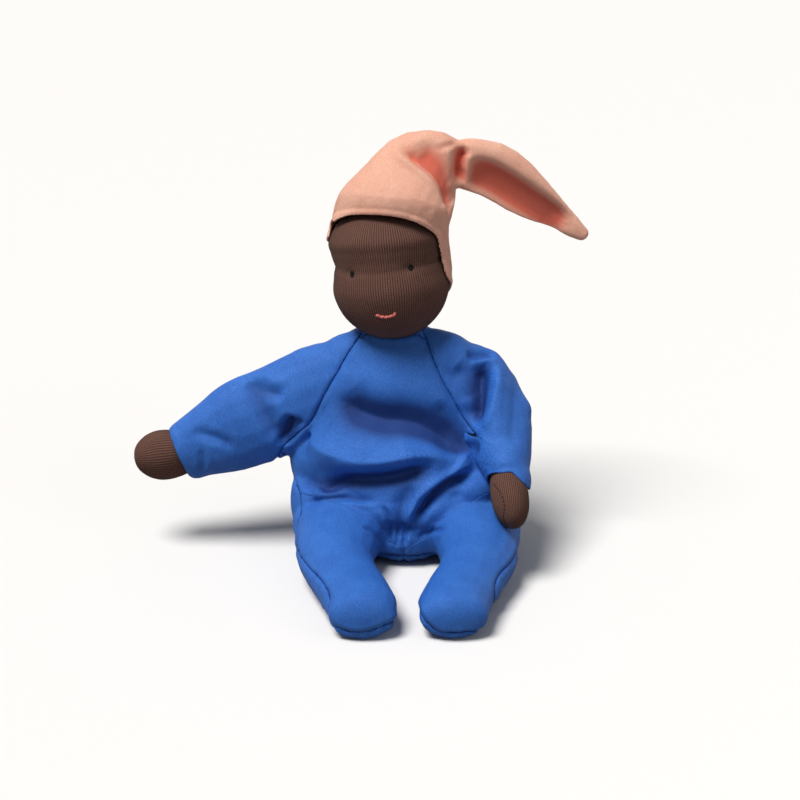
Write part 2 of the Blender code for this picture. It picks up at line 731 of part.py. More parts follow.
def limb_rooms(grow):
    """The room that each limb sweeps in the trunk; grow makes it wider, for a lining."""
    half, radius = SHOULDER_HALF + grow, SHOULDER_RADIUS + grow
    rooms = {}
    for name, side in (("right_hip", -1), ("left_hip", 1)):
        hip = Vector((side * HIP_X, HIP_Y, LEG_HIP_HEIGHT))
        rooms[name] = socket(hip, X_AXIS, -Y_AXIS, HIP_HALF + grow, HIP_RADIUS + grow, 0.0, HIP_DOWN)
    shoulder, upper = (Vector(row[:3]) for row in right_arm_rows()[:2])
    first = upper - shoulder
    first = (first - Y_AXIS * first.y).normalized()
    rooms["right_shoulder"] = socket(shoulder, Y_AXIS, first, half, radius, -RIGHT_ARM_LOW, RIGHT_ARM_HIGH)
    shoulder = Vector(left_arm_rows()[0][:3])
    rooms["left_shoulder"] = socket(shoulder, Y_AXIS, X_AXIS, half, radius, -LEFT_SOCKET_UP, LEFT_SOCKET_DOWN)
    rooms["left_sleeve"] = limb(left_arm_rows(), Y_AXIS, ARM_SIDES, grow=SOCKET_GAP + grow, rooted=False)
    return rooms


def room_cutters(kind, grow, root):
    return [add_cutter(name + kind, shape, root) for name, shape in limb_rooms(grow).items()]


def build_torso(root, cloth, cloth_back, wool):
    """The suit's trunk in a front and a back panel, lined round each limb, and the wool inside them."""
    below = block((-CUT_WIDE, -CUT_LONG, -OVERRUN), (CUT_WIDE, CUT_WIDE, 0.0))
    floor = add_cutter("floor_cut", below, root)
    shaft = NECK_RADIUS + SOCKET_GAP
    foot = NECK_FOOT_HEIGHT - SOCKET_GAP
    hole = lathe(((0.0, foot), (shaft, foot), (shaft, NECK_BALL_HEIGHT), (0.0, NECK_BALL_HEIGHT)), NECK_SIDES)
    neck_hole = add_cutter("neck_hole", place_shape(hole, Matrix.Identity(3), Vector((NECK_X, NECK_Y, 0))), root)
    hollow = add_cutter("suit_hollow", torso_form(-SUIT_CLOTH, SUIT_CLOTH), root)
    cut(hollow, room_cutters("_lining", SUIT_CLOTH, root))
    openings = [floor, neck_hole, *room_cutters("_room", 0.0, root)]

    seam_front, seam_back = TORSO_SEAM_SET - GAP / 2, TORSO_SEAM_SET + GAP / 2
    behind = block((-CUT_WIDE, seam_front, -OVERRUN), (CUT_WIDE, CUT_WIDE, CUT_LONG))
    before = block((-CUT_WIDE, -CUT_WIDE, -OVERRUN), (CUT_WIDE, seam_back, CUT_LONG))
    for name, material, half in (("suit_front", cloth, behind), ("suit_back", cloth_back, before)):
        panel = add_solid(name, torso_form(0.0, -REST_DEPTH), root, material)
        cut(panel, [hollow, add_cutter(name + "_cut", half, root), *openings])
    inner = SUIT_CLOTH + GAP
    filling = add_solid("torso_stuffing", torso_form(-inner, inner), root, wool)
    cut(filling, [neck_hole, *room_cutters("_wool_room", inner, root)])


def build_neck(neck, wool, thread):
    centre = Vector((NECK_X, NECK_Y, 0))
    stub = lathe(neck_outline(NECK_RADIUS, NECK_BALL_RADIUS), NECK_SIDES)
    add_solid("neck_core", place_shape(stub, Matrix.Identity(3), centre), neck, wool)
    ring = torus(NECK_RADIUS + GAP + TIE_RADIUS, TIE_RADIUS, NECK_SIDES)
    tie_height = COLLAR_HEIGHT + COLLAR_RISE + GAP + TIE_RADIUS
    add_solid("neck_tie", place_shape(ring, Matrix.Identity(3), centre + Z_AXIS * tie_height), neck, thread)


def build_head(head, skin, gauze, wool, threads):
    centre = Vector((NECK_X, NECK_Y, 0))
    hole = place_shape(lathe(neck_room_outline(), NECK_SIDES), Matrix.Identity(3), centre)
    room = add_cutter("neck_room", hole, head)
    inner_skin = SKIN_KNIT
    outer_gauze = inner_skin + GAP
    inner_gauze = outer_gauze + GAUZE
    core = inner_gauze + GAP
    pinch = 2 * EYE_THREAD_RADIUS + GAP
    knit = add_solid("head_skin", head_form(0.0), head, skin)
    cut(knit, [add_cutter("skin_hollow", head_form(-inner_skin), head), room])
    tube = add_solid("head_gauze", head_form(-outer_gauze, pinch), head, gauze)
    cut(tube, [add_cutter("gauze_hollow", head_form(-inner_gauze, pinch), head), room])
    ball = add_solid("head_core", head_form(-core, pinch), head, wool)
    cut(ball, [room])

    turn = head_turn()
    ring_radius = EYE_LINE_RADIUS - inner_skin - GAP - EYE_THREAD_RADIUS
    ring = torus(ring_radius, EYE_THREAD_RADIUS, HEAD_SIDES)
    bmesh.ops.scale(ring, verts=ring.verts, vec=(1, HEAD_DEPTH_SHARE, 1))
    middle = head_place(0, 0, EYE_LINE_RISE)
    add_solid("eye_line_thread", place_shape(ring, turn, middle), head, threads["white"])

    outline = ((0.0, -EYE_HALF_PROUD), (EYE_RADIUS, 0.0), (EYE_TOP_RADIUS, EYE_TOP_RISE), (0.0, EYE_HALF_PROUD))
    for name, side in (("right_eye", -1), ("left_eye", 1)):
        place = face_place(side * EYE_OFFSET, EYE_LINE_RISE, 0.0)
        facing = (place - middle).normalized()
        eye = place_shape(lathe(outline, EYE_SIDES), facing.to_track_quat("Z", "Y").to_matrix(),
                          place + facing * (GAP + EYE_HALF_PROUD))
        add_solid(name, eye, head, threads["black"])

    rings = []
    for step in range(MOUTH_STEPS):
        share = 2 * step / (MOUTH_STEPS - 1) - 1
        height = -MOUTH_DROP - MOUTH_DIP * (1 - share * share)
        place = face_place(share * MOUTH_HALF_WIDTH, height, GAP + 2 * MOUTH_THREAD_RADIUS)
        rings.append(ring_points(place, turn @ Y_AXIS, turn @ Z_AXIS,
                                 MOUTH_THREAD_RADIUS, MOUTH_THREAD_RADIUS, THREAD_SIDES))
    ends = [sum(ring, Vector()) / THREAD_SIDES for ring in (rings[0], rings[-1])]
    add_solid("mouth", skin_rings(rings, *ends), head, threads["coral"])


def build_cap(head, tail_joint, cloth):
    """The crown over the head, open at the face, and the folded tail."""
    turn = head_turn()
    crown = add_solid("cap_crown", cap_form(0.0), head, cloth)
    hollow = add_cutter("cap_hollow", cap_form(-CAP_CLOTH, OVERRUN), head)
    scalp = add_cutter("scalp_room", head_form(GAP), head)
    tunnel = []
    slant = turn @ Vector((math.cos(math.radians(FACE_SLANT)), -math.sin(math.radians(FACE_SLANT)), 0))
    for back in (-CUT_WIDE, FACE_BACK):
        tunnel.append(ring_points(head_place(0, back, -FACE_DROP), slant, turn @ Z_AXIS,
                                  FACE_HALF_WIDTH, FACE_HALF_HEIGHT, FACE_SIDES))
    ends = [head_place(0, back, -FACE_DROP) for back in (-CUT_WIDE, FACE_BACK)]
    face = add_cutter("face_opening", skin_rings(tunnel, *ends), head)
    rows = tail_rows()
    root = Vector(rows[0][:3])
    first = Vector(rows[1][:3]) - root
    sweep = socket(root, Y_AXIS, first.normalized(), TAIL_ROOT_HALF + OVERRUN, TAIL_ROOT_RADIUS,
                   -TAIL_LIFT, TAIL_DROOP, TAIL_SWEEP, GAP)
    fold = add_cutter("tail_socket", sweep, head)
    cut(crown, [hollow, scalp, face, fold])

    tail = add_solid("cap_tail", limb(rows, Y_AXIS, TAIL_SIDES, tip=TAIL_TIP_ROUND), tail_joint, cloth)
    lining = limb(rows, Y_AXIS, TAIL_SIDES, grow=-CAP_CLOTH, tip=TAIL_TIP_ROUND)
    inner = add_cutter("tail_hollow", lining, tail_joint)
    bore = rod(TAIL_BORE_RADIUS, OVERRUN)
    toward_crown = (-first).to_track_quat("Z", "Y").to_matrix()
    mouth = add_cutter("tail_mouth", place_shape(bore, toward_crown, root), tail_joint)
    cut(tail, [inner, mouth])


def build_arm(name, rows, arm, hand, hand_hinge, aim, wrist_half, wrist_radius, materials):
    """One raglan sleeve with its wool, and the knit hand that turns in its cuff."""
    cloth, wool, skin, thread = materials
    wrist = wrist_place(rows)
    sleeve = add_solid(name + "_sleeve", limb(rows, Y_AXIS, ARM_SIDES), arm, cloth)
    hollow = add_cutter(name + "_sleeve_hollow",
                        limb(rows, Y_AXIS, ARM_SIDES, grow=-SUIT_CLOTH, reach=OVERRUN), arm)
    cut(sleeve, [hollow])
    room = bmesh.new()
    bmesh.ops.create_icosphere(room, subdivisions=2, radius=wrist_radius + HAND_TIE_ROOM)
    wool_end = add_cutter(name + "_wrist_room", place_shape(room, Matrix.Identity(3), wrist), arm)
    filling = add_solid(name + "_arm_stuffing",
                        limb(rows, Y_AXIS, ARM_SIDES, grow=-SUIT_CLOTH - GAP), arm, wool)
    cut(filling, [wool_end])

    rows = hand_rows(wrist, aim, wrist_half, wrist_radius)
    mitten = add_solid(name + "_hand_skin", limb(rows, hand_hinge, HAND_SIDES, tip=HAND_TIP_ROUND), hand, skin)
    inside = add_cutter(name + "_hand_hollow",
                        limb(rows, hand_hinge, HAND_SIDES, grow=-HAND_KNIT, tip=HAND_TIP_ROUND), hand)
    toward_arm = (-aim).to_track_quat("Z", "Y").to_matrix()
    gather_radius = HAND_TIE_RING - GAP - TIE_RADIUS
    bore = rod(gather_radius, OVERRUN)
    gather = add_cutter(name + "_hand_gather", place_shape(bore, toward_arm, wrist), hand)
    cut(mitten, [inside, gather])
    add_solid(name + "_hand_stuffing",
              limb(rows, hand_hinge, HAND_SIDES, grow=-HAND_KNIT - GAP, tip=HAND_TIP_ROUND), hand, wool)
    ring = torus(HAND_TIE_RING, TIE_RADIUS, BORE_SIDES)
    place = wrist - aim.normalized() * (wrist_radius + GAP + TIE_RADIUS)
    add_solid(name + "_hand_tie", place_shape(ring, toward_arm, place), hand, thread)


def build_leg(name, side, leg, floor, cloth, cloth_back, wool):
    """One leg and foot in a front and a back panel, with the seam low on its sides and round the toe."""
    rows = leg_rows(side)
    low, high = LEG_SEAM_HEIGHT - GAP / 2, LEG_SEAM_HEIGHT + GAP / 2
    inside = limb(rows, X_AXIS, LEG_SIDES, grow=-SUIT_CLOTH, tip=TOE_ROUND)
    hollow = add_cutter(name + "_leg_hollow", inside, leg)
    under = block((-CUT_WIDE, -CUT_LONG, -OVERRUN), (CUT_WIDE, CUT_WIDE, high))
    over = block((-CUT_WIDE, -CUT_LONG, low), (CUT_WIDE, CUT_WIDE, CUT_WIDE))
    halves = (("_leg_front", cloth, under), ("_leg_back", cloth_back, over))
    for part, material, half in halves:
        panel = add_solid(name + part, limb(rows, X_AXIS, LEG_SIDES, tip=TOE_ROUND), leg, material)
        cut(panel, [hollow, add_cutter(name + part + "_cut", half, leg), floor])
    filling = limb(rows, X_AXIS, LEG_SIDES, grow=-SUIT_CLOTH - GAP, tip=TOE_ROUND)
    add_solid(name + "_leg_stuffing", filling, leg, wool)


def build_doll():
    clear_scene()
    cloth = fabric("suit cloth", SUIT_BLUE, 0.75)
    cloth_back = fabric("suit cloth, back", SUIT_BLUE_BACK, 0.75)
    wool = fabric("wool", WOOL, 0.95)
    gauze = fabric("gauze", GAUZE_WHITE, 0.9)
    skin = fabric("rib knit skin", SKIN_BROWN, 0.85)
    cap_cloth = fabric("cap cloth", CAP_SALMON, 0.8)
    threads = {
        "black": fabric("black thread", THREAD_BLACK, 0.6),
        "white": fabric("white thread", THREAD_WHITE, 0.7),
        "coral": fabric("coral thread", THREAD_CORAL, 0.6),
    }

    root = add_joint("torso", Vector())
    neck = add_joint("head_turn", Vector((NECK_X, NECK_Y, COLLAR_HEIGHT)), root)
    head = add_joint("head_nod", Vector((NECK_X, NECK_Y, NECK_BALL_HEIGHT)), neck)
    tail = add_joint("cap_tail_swing", Vector(tail_rows()[0][:3]), head)
    build_torso(root, cloth, cloth_back, wool)
    build_neck(neck, wool, threads["white"])
    build_head(head, skin, gauze, wool, threads)
    build_cap(head, tail, cap_cloth)

    materials = (cloth, wool, skin, threads["white"])
    rows = right_arm_rows()
    arm = add_joint("right_shoulder_raise", Vector(rows[0][:3]), root)
    hand = add_joint("right_wrist_bend", wrist_place(rows), arm)
    aim = Vector((-FINGER_REACH, 0, -RIGHT_HAND_DROP))
    build_arm("right", rows, arm, hand, Y_AXIS, aim, WRIST_HALF, WRIST_RADIUS, materials)
    rows = left_arm_rows()
    arm = add_joint("left_shoulder_raise", Vector(rows[0][:3]), root)
    hand = add_joint("left_wrist_bend", wrist_place(rows), arm)
    aim = Vector((0, -LEFT_HAND_FORWARD_SHARE, -LEFT_HAND_DOWN_SHARE))
    build_arm("left", rows, arm, hand, X_AXIS, aim, LEFT_WRIST_HALF, LEFT_WRIST_RADIUS, materials)

    for name, side in (("right", -1), ("left", 1)):
        leg = add_joint(name + "_hip_fold", Vector(leg_rows(side)[0][:3]), root)
        build_leg(name, side, leg, bpy.data.objects["floor_cut"], cloth, cloth_back, wool)


build_doll()
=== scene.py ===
# %% [markdown]
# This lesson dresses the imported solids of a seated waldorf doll, a cloth doll with a knit head, a woven suit
# and a long pointed cap. The solids give every place and every joint. The pieces made here give the cloth: its
# seams, folds and weave. All lengths are in metres, and MM turns the maker's millimetres into them.

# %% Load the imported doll
import math

import bmesh
import bpy
import numpy as np
from mathutils import Euler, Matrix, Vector, noise
from mathutils.bvhtree import BVHTree


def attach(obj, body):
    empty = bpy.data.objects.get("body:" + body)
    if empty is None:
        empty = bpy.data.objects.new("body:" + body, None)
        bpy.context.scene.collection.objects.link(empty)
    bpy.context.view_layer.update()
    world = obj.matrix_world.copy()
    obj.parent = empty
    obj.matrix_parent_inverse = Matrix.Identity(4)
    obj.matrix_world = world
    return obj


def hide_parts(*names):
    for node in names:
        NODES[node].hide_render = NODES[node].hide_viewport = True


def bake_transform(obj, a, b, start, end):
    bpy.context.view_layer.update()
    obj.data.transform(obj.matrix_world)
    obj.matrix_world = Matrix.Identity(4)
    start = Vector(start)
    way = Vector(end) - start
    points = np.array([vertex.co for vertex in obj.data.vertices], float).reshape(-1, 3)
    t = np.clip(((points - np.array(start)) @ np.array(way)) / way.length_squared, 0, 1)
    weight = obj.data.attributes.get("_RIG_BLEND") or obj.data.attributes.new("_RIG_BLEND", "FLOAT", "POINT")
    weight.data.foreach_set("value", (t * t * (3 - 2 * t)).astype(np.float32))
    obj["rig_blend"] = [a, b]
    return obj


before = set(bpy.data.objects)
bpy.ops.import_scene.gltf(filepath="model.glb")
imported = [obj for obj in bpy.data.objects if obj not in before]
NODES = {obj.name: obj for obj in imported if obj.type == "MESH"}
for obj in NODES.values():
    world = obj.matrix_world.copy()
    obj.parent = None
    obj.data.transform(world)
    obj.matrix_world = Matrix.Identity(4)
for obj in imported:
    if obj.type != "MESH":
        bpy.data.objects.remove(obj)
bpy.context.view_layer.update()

MM = 0.001

# %% [markdown]
# The camera comes first, because folds are placed where the photograph shows them: a line of sight through a
# place in the picture is followed until it meets the cloth. The picture is 800 pixels wide, and a 90 mm lens
# from one metre shows the doll from 20 degrees above.

# %% Camera
PICTURE = 800
LENS = 90.0
SENSOR = 36.0
DISTANCE = 1.0
RISE = math.radians(20)
TARGET = np.array((-3.5, 0.0, 77.0)) * MM
AHEAD = np.array((0.0, math.cos(RISE), -math.sin(RISE)))
ABOVE = np.array((0.0, math.sin(RISE), math.cos(RISE)))
EYE = TARGET - AHEAD * DISTANCE

camera = bpy.data.objects.new("camera", bpy.data.cameras.new("camera"))
camera.data.lens = LENS
camera.data.sensor_width = SENSOR
camera.location = EYE
camera.rotation_euler = (math.pi / 2 - RISE, 0, 0)
bpy.context.scene.collection.objects.link(camera)
bpy.context.scene.camera = camera


def line_of_sight(across, down):
    """The direction from the camera through a place in the picture."""
    focal = LENS / SENSOR * PICTURE
    ray = AHEAD + np.array((1.0, 0, 0)) * ((across - PICTURE / 2) / focal) + ABOVE * ((PICTURE / 2 - down) / focal)
    return ray / np.linalg.norm(ray)


print("camera at", [round(float(v), 3) for v in EYE])

# %% [markdown]
# A few helpers serve every soft piece. Meshes are handled as arrays of points, because a smoothing or a fold is
# then one line of arithmetic over the whole cloth.

# %% Meshes as arrays
def new_piece(name, points, faces, corners=None):
    """A mesh object from points and faces, shaded smooth, with one UV pair for each face corner."""
    mesh = bpy.data.meshes.new(name)
    mesh.from_pydata([tuple(p) for p in points], [], [tuple(int(i) for i in f) for f in faces])
    mesh.polygons.foreach_set("use_smooth", [True] * len(mesh.polygons))
    if corners is not None:
        mesh.uv_layers.new(name="cloth").data.foreach_set("uv", np.asarray(corners, np.float32).ravel())
    mesh.update()
    piece = bpy.data.objects.new(name, mesh)
    bpy.context.scene.collection.objects.link(piece)
    return piece


def points_of(mesh):
    co = np.empty(len(mesh.vertices) * 3, np.float32)
    mesh.vertices.foreach_get("co", co)
    return co.reshape(-1, 3).astype(float)


def normals_of(mesh):
    normals = np.empty(len(mesh.vertices) * 3, np.float32)
    mesh.vertex_normals.foreach_get("vector", normals)
    return normals.reshape(-1, 3).astype(float)


def edges_of(mesh):
    pairs = np.empty(len(mesh.edges) * 2, np.int32)
    mesh.edges.foreach_get("vertices", pairs)
    return pairs.reshape(-1, 2)


def set_points(mesh, points):
    mesh.vertices.foreach_set("co", points.astype(np.float32).ravel())
    mesh.update()


def settled(piece):
    """The piece's mesh with its modifiers made real."""
    finished = bpy.data.meshes.new_from_object(piece.evaluated_get(bpy.context.evaluated_depsgraph_get()))
    piece.modifiers.clear()
    piece.data = finished
    return piece


def relax(points, pairs, rounds, keep_size=True, pull=0.5):
    """Each point moves towards the middle of its neighbours, and back out by a little more, so nothing shrinks."""
    a, b = pairs[:, 0], pairs[:, 1]
    total = len(points)
    count = np.maximum(np.bincount(np.concatenate((a, b)), minlength=total), 1)[:, None]
    for _ in range(rounds):
        for share in ((pull, -1.04 * pull) if keep_size else (pull,)):
            middle = np.stack([np.bincount(a, points[b, k], total) + np.bincount(b, points[a, k], total)
                               for k in range(3)], 1) / count
            points = points + share * (middle - points)
    return points


def ripple(points, size, seed=0.0):
    """Smooth noise from -1 to 1 at each point, with waves of about that size."""
    scale = 1 / size
    shift = Vector((seed, 1.7 * seed, -0.6 * seed))
    return np.array([noise.noise(Vector(p) * scale + shift) for p in points])


def smooth_line(places, count):
    """Evenly spaced points on a smooth line through the places."""
    places = np.asarray(places, float)
    ends = np.vstack((2 * places[0] - places[1], places, 2 * places[-1] - places[-2]))
    line = []
    for i in range(len(places) - 1):
        p0, p1, p2, p3 = ends[i:i + 4]
        for t in np.linspace(0, 1, 24, endpoint=False):
            line.append(0.5 * (2 * p1 + (p2 - p0) * t + (2 * p0 - 5 * p1 + 4 * p2 - p3) * t * t
                               + (3 * p1 - p0 - 3 * p2 + p3) * t ** 3))
    line = np.array(line + [places[-1]])
    along = np.concatenate(([0], np.cumsum(np.linalg.norm(np.diff(line, axis=0), axis=1))))
    wanted = np.linspace(0, along[-1], count)
    return np.stack([np.interp(wanted, along, line[:, k]) for k in range(line.shape[1])], 1)


# %% [markdown]
# One skin over many solids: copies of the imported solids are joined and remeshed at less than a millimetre. The
# remesh walks round the outside, so the walls, the wool and the gaps between them all become one smooth form,
# which is what cloth does over stuffing. Some solids are first clipped by planes, where two skins must stay apart.

# %% One skin over many solids
def clipped(node, planes):
    """A solid's points and faces, cut by planes given as (place, direction that is cut away), and closed."""
    form = bmesh.new()
    form.from_mesh(NODES[node].data)
    bmesh.ops.remove_doubles(form, verts=form.verts, dist=1e-6)
    for place, away in planes:
        everything = form.verts[:] + form.edges[:] + form.faces[:]
        bmesh.ops.bisect_plane(form, geom=everything, dist=1e-7, plane_co=place, plane_no=away, clear_outer=True)
        bmesh.ops.holes_fill(form, edges=[e for e in form.edges if e.is_boundary], sides=0)
    form.verts.index_update()
    points = [tuple(v.co) for v in form.verts]
    faces = [[v.index for v in f.verts] for f in form.faces]
    form.free()
    return points, faces


def plump(centre, radii, turn=(0, 0, 0)):
    """A closed egg of stuffing, where the cloth stands fuller than the solids."""
    form = bmesh.new()
    bmesh.ops.create_icosphere(form, subdivisions=3, radius=1.0)
    spin = Euler([math.radians(a) for a in turn]).to_matrix()
    points = [tuple((spin @ Vector([v.co[k] * radii[k] for k in range(3)]) + Vector(centre)) * MM)
              for v in form.verts]
    faces = [[v.index for v in f.verts] for f in form.faces]
    form.free()
    return points, faces


def hull(node):
    """The smallest bulging form round a solid."""
    form = bmesh.new()
    for v in NODES[node].data.vertices:
        form.verts.new(v.co)
    made = bmesh.ops.convex_hull(form, input=form.verts[:])
    bmesh.ops.delete(form, geom=made["geom_interior"], context="VERTS")
    form.verts.index_update()
    points = [tuple(v.co) for v in form.verts]
    faces = [[v.index for v in f.verts] for f in form.faces]
    form.free()
    return points, faces


def frustum(centre, low, high, sides=40):
    """A closed form between two level ellipses, each given as (height, half width, half depth) in mm."""
    points = []
    for z, across, deep in (low, high):
        points += [((centre[0] + across * math.cos(a)) * MM, (centre[1] + deep * math.sin(a)) * MM, z * MM)
                   for a in np.arange(sides) / sides * 2 * math.pi]
    faces = [[i, (i + 1) % sides, sides + (i + 1) % sides, sides + i] for i in range(sides)]
    return points, faces + [list(range(sides))[::-1], list(range(sides, 2 * sides))]


def outermost(piece):
    """Keeps a piece's largest connected shell, so no shell is left inside it."""
    form = bmesh.new()
    form.from_mesh(piece.data)
    seen, shells = set(), []
    for start in form.verts:
        if start in seen:
            continue
        seen.add(start)
        shell, waiting = [start], [start]
        while waiting:
            for edge in waiting.pop().link_edges:
                for vert in edge.verts:
                    if vert not in seen:
                        seen.add(vert)
                        shell.append(vert)
                        waiting.append(vert)
        shells.append(shell)
    largest = max(shells, key=len)
    spare = [v for shell in shells if shell is not largest for v in shell]
    bmesh.ops.delete(form, geom=spare, context="VERTS")
    form.to_mesh(piece.data)
    form.free()
    return piece


def skin_over(name, forms, voxel, rounds, soften=0):
    """One remeshed and smoothed skin over closed forms."""
    points, faces = [], []
    for some_points, some_faces in forms:
        faces += [[i + len(points) for i in f] for f in some_faces]
        points += some_points
    piece = new_piece(name, points, faces)
    remesh = piece.modifiers.new("remesh", "REMESH")
    remesh.mode = "VOXEL"
    remesh.voxel_size = voxel
    outermost(settled(piece))
    piece.data.polygons.foreach_set("use_smooth", [True] * len(piece.data.polygons))
    smooth = relax(points_of(piece.data), edges_of(piece.data), soften, keep_size=False)
    set_points(piece.data, relax(smooth, edges_of(piece.data), rounds))
    return piece


# %% [markdown]
# Folds are pressed into the skin along lines. A line is a few places in the picture. Each is followed along the
# line of sight to the cloth, and the cloth near the line moves in along the line's own direction outwards: a
# valley, with a swelling beside it where the cloth rolls over. How far the cloth went in is kept, because the
# hollows get painted shade in their colour later.

# %% Folds
def tree_of(piece):
    return BVHTree.FromPolygons([Vector(p) for p in points_of(piece.data)],
                                [tuple(f.vertices) for f in piece.data.polygons])


def traced(tree, places, spacing=0.8 * MM):
    """Points and outward directions where a line through places in the picture lies on the cloth."""
    places = np.asarray(places, float)
    reach = np.linalg.norm(np.diff(places, axis=0), axis=1).sum() * 0.5 * MM
    points, outs = [], []
    for across, down in smooth_line(places, max(4, int(reach / spacing))):
        hit, out, _, _ = tree.ray_cast(Vector(EYE), Vector(line_of_sight(across, down)))
        if hit is not None:
            points.append(hit)
            outs.append(out)
    return np.array(points), np.array(outs)


def fold(points, line, outs, width, depth, lip=0.0, other_lip=0.0, sharp=1.4, fade=0.22):
    """Presses a valley along a line, with swellings on its right and left as one travels along it."""
    if len(line) < 3:
        return points
    reach = 3.6 * width
    near = np.flatnonzero(((points > line.min(0) - reach) & (points < line.max(0) + reach)).all(1))
    if len(near) == 0:
        return points
    outs = outs / np.linalg.norm(outs, axis=1)[:, None]
    soft = np.stack([np.convolve(np.pad(outs[:, k], 3, mode="edge"), np.ones(7) / 7, "valid") for k in range(3)], 1)
    apart = points[near][:, None, :] - line[None]
    square = (apart ** 2).sum(2)
    nearest = square.argmin(1)
    away = np.sqrt(square[np.arange(len(near)), nearest])
    travel = np.gradient(line, axis=0)
    right = np.cross(travel, soft)
    side = np.sign((apart[np.arange(len(near)), nearest] * right[nearest]).sum(1))
    share = nearest / (len(line) - 1)
    ends = np.clip(np.minimum(share, 1 - share) / fade, 0, 1)
    ends = ends * ends * (3 - 2 * ends)
    x = away / width
    past = (nearest == 0) | (nearest == len(line) - 1)
    ends = np.where(past, 0, ends)
    lips = np.where(side > 0, lip, other_lip) * np.exp(-((x - 1.5) / 0.75) ** 2)
    press = -depth * np.exp(-x ** sharp) + lips
    moved = points.copy()
    moved[near] += (press * ends * (x < 3.4))[:, None] * soft[nearest]
    return moved


def shown_tree(skins):
    """The outsides of several skins, for lines of sight."""
    points, faces = [], []
    for skin in skins:
        faces += [tuple(i + len(points) for i in f.vertices) for f in skin.data.polygons]
        points += [Vector(p) for p in points_of(skin.data)]
    return BVHTree.FromPolygons(points, faces)


def pressed(points, traces):
    """Points after a table of folds has been pressed into them."""
    for width, depth, lip, other_lip, sharp, line, outs in traces:
        points = fold(points, line, outs, width * MM, depth * MM, lip * MM, other_lip * MM, sharp)
    return points


def press_folds(skins, strokes):
    """Presses a table of folds: (width, depth, right lip, left lip, places in the picture, sharpness), in mm."""
    tree = shown_tree(skins)
    traces = [(*stroke[:4], stroke[5] if len(stroke) > 5 else 1.4, *traced(tree, stroke[4])) for stroke in strokes]
    for skin in skins:
        set_points(skin.data, relax(pressed(points_of(skin.data), traces), edges_of(skin.data), 2))
    return traces


def fold_shade_share(skin, before, outs, full):
    """How deep each point was pressed in, as a share of a full depth, which sets how much painted shade it gets."""
    return np.clip(((before - points_of(skin.data)) * outs).sum(1) / full, 1e-6, 1)


def coaxed(points, pulls):
    """Pulls the cloth about a place: (place, reach, move), in mm, strongest at the place and soft at its reach."""
    for place, reach, move in pulls:
        away = np.linalg.norm(points - np.array(place) * MM, axis=1) / (reach * MM)
        points = points + np.exp(-away ** 2)[:, None] * np.array(move) * MM
    return points


# %% [markdown]
# Seams divide the skin into the panels that were cut and sewn. A seam is where a measure over the cloth, such as
# the distance from a plane, passes through zero. Faces are split exactly on that line, so two panels share one
# edge and no gap can open between them.

# %% Panels
def split_along(piece, measures):
    """Splits the faces along the zero line of each measure in turn, and returns the measures at the new points."""
    names = [f"measure_{i}" for i in range(len(measures))]
    points = points_of(piece.data)
    pairs = edges_of(piece.data)
    values = [np.array(m, float) for m in measures]
    for value in values:
        low, high = value[pairs[:, 0]], value[pairs[:, 1]]
        crossing = low * high < 0
        share = np.where(crossing, low / np.where(crossing, low - high, 1), 0.5)
        for end, near in ((0, crossing & (share < 0.18)), (1, crossing & (share > 0.82))):
            index = pairs[near, end]
            points[index] += (points[pairs[near, 1 - end]] - points[index]) * \
                (share if end == 0 else 1 - share)[near][:, None]
            value[index] = 0
    set_points(piece.data, points)
    form = bmesh.new()
    form.from_mesh(piece.data)
    for name in names:
        form.verts.layers.float.new(name)
    layers = [form.verts.layers.float[name] for name in names]
    for layer, value in zip(layers, values):
        for vert, v in zip(form.verts, value):
            vert[layer] = v
    for layer in layers:
        for edge in [e for e in form.edges if e.verts[0][layer] * e.verts[1][layer] < 0]:
            first = edge.verts[0]
            a, b = first[layer], edge.verts[1][layer]
            _, fresh = bmesh.utils.edge_split(edge, first, a / (a - b))
            fresh[layer] = 0.0
        bmesh.ops.connect_verts(form, verts=[v for v in form.verts if v[layer] == 0.0])
    measured = [np.array([v[layer] for v in form.verts]) for layer in layers]
    for name in names:
        form.verts.layers.float.remove(form.verts.layers.float[name])
    form.to_mesh(piece.data)
    form.free()
    piece.data.update()
    return measured


def evened(values, pairs, rounds):
    """A measure averaged with its neighbours' along the mesh, so that its zero line runs smooth."""
    ends, others = np.concatenate((pairs, pairs[:, ::-1])).T
    count = np.maximum(np.bincount(ends, minlength=len(values)), 1)
    for _ in range(rounds):
        values = 0.5 * values + 0.5 * np.bincount(ends, values[others], len(values)) / count
    return values


def faces_of(mesh):
    return [np.array(f.vertices) for f in mesh.polygons]


def pull_seams_in(piece, measures, depth):
    """Moves the points on a seam in by a stitch's depth, and returns how close each point is to one, the share of
    painted shade along the seams.
    """
    points = points_of(piece.data)
    on_seam = np.zeros(len(points), bool)
    for measure in measures:
        on_seam |= np.abs(measure) < 1e-9
    set_points(piece.data, points - normals_of(piece.data) * (on_seam * depth)[:, None])
    return on_seam.astype(float)


def panel(name, points, faces, chosen, flat_place, wall, painted_seam_and_fold_shade):
    """One panel of cloth: the chosen faces with their own UV map, given a wall inwards."""
    kept = [faces[i] for i in np.flatnonzero(chosen)]
    used, order = np.unique(np.concatenate(kept), return_inverse=True)
    starts = np.cumsum([0] + [len(f) for f in kept])
    local = [order[a:b] for a, b in zip(starts, starts[1:])]
    flat = flat_place(points[used]) / MM
    piece = new_piece(name, points[used], local, flat[order])
    # The seam attribute is painted shade: it darkens the colour along the seams and in the pressed folds.
    painted_shade_layer = piece.data.attributes.new("seam", "FLOAT", "POINT")
    painted_shade_layer.data.foreach_set("value", painted_seam_and_fold_shade[used].astype(np.float32))
    thick = piece.modifiers.new("wall", "SOLIDIFY")
    thick.thickness = wall
    thick.offset = -1
    return settled(piece)
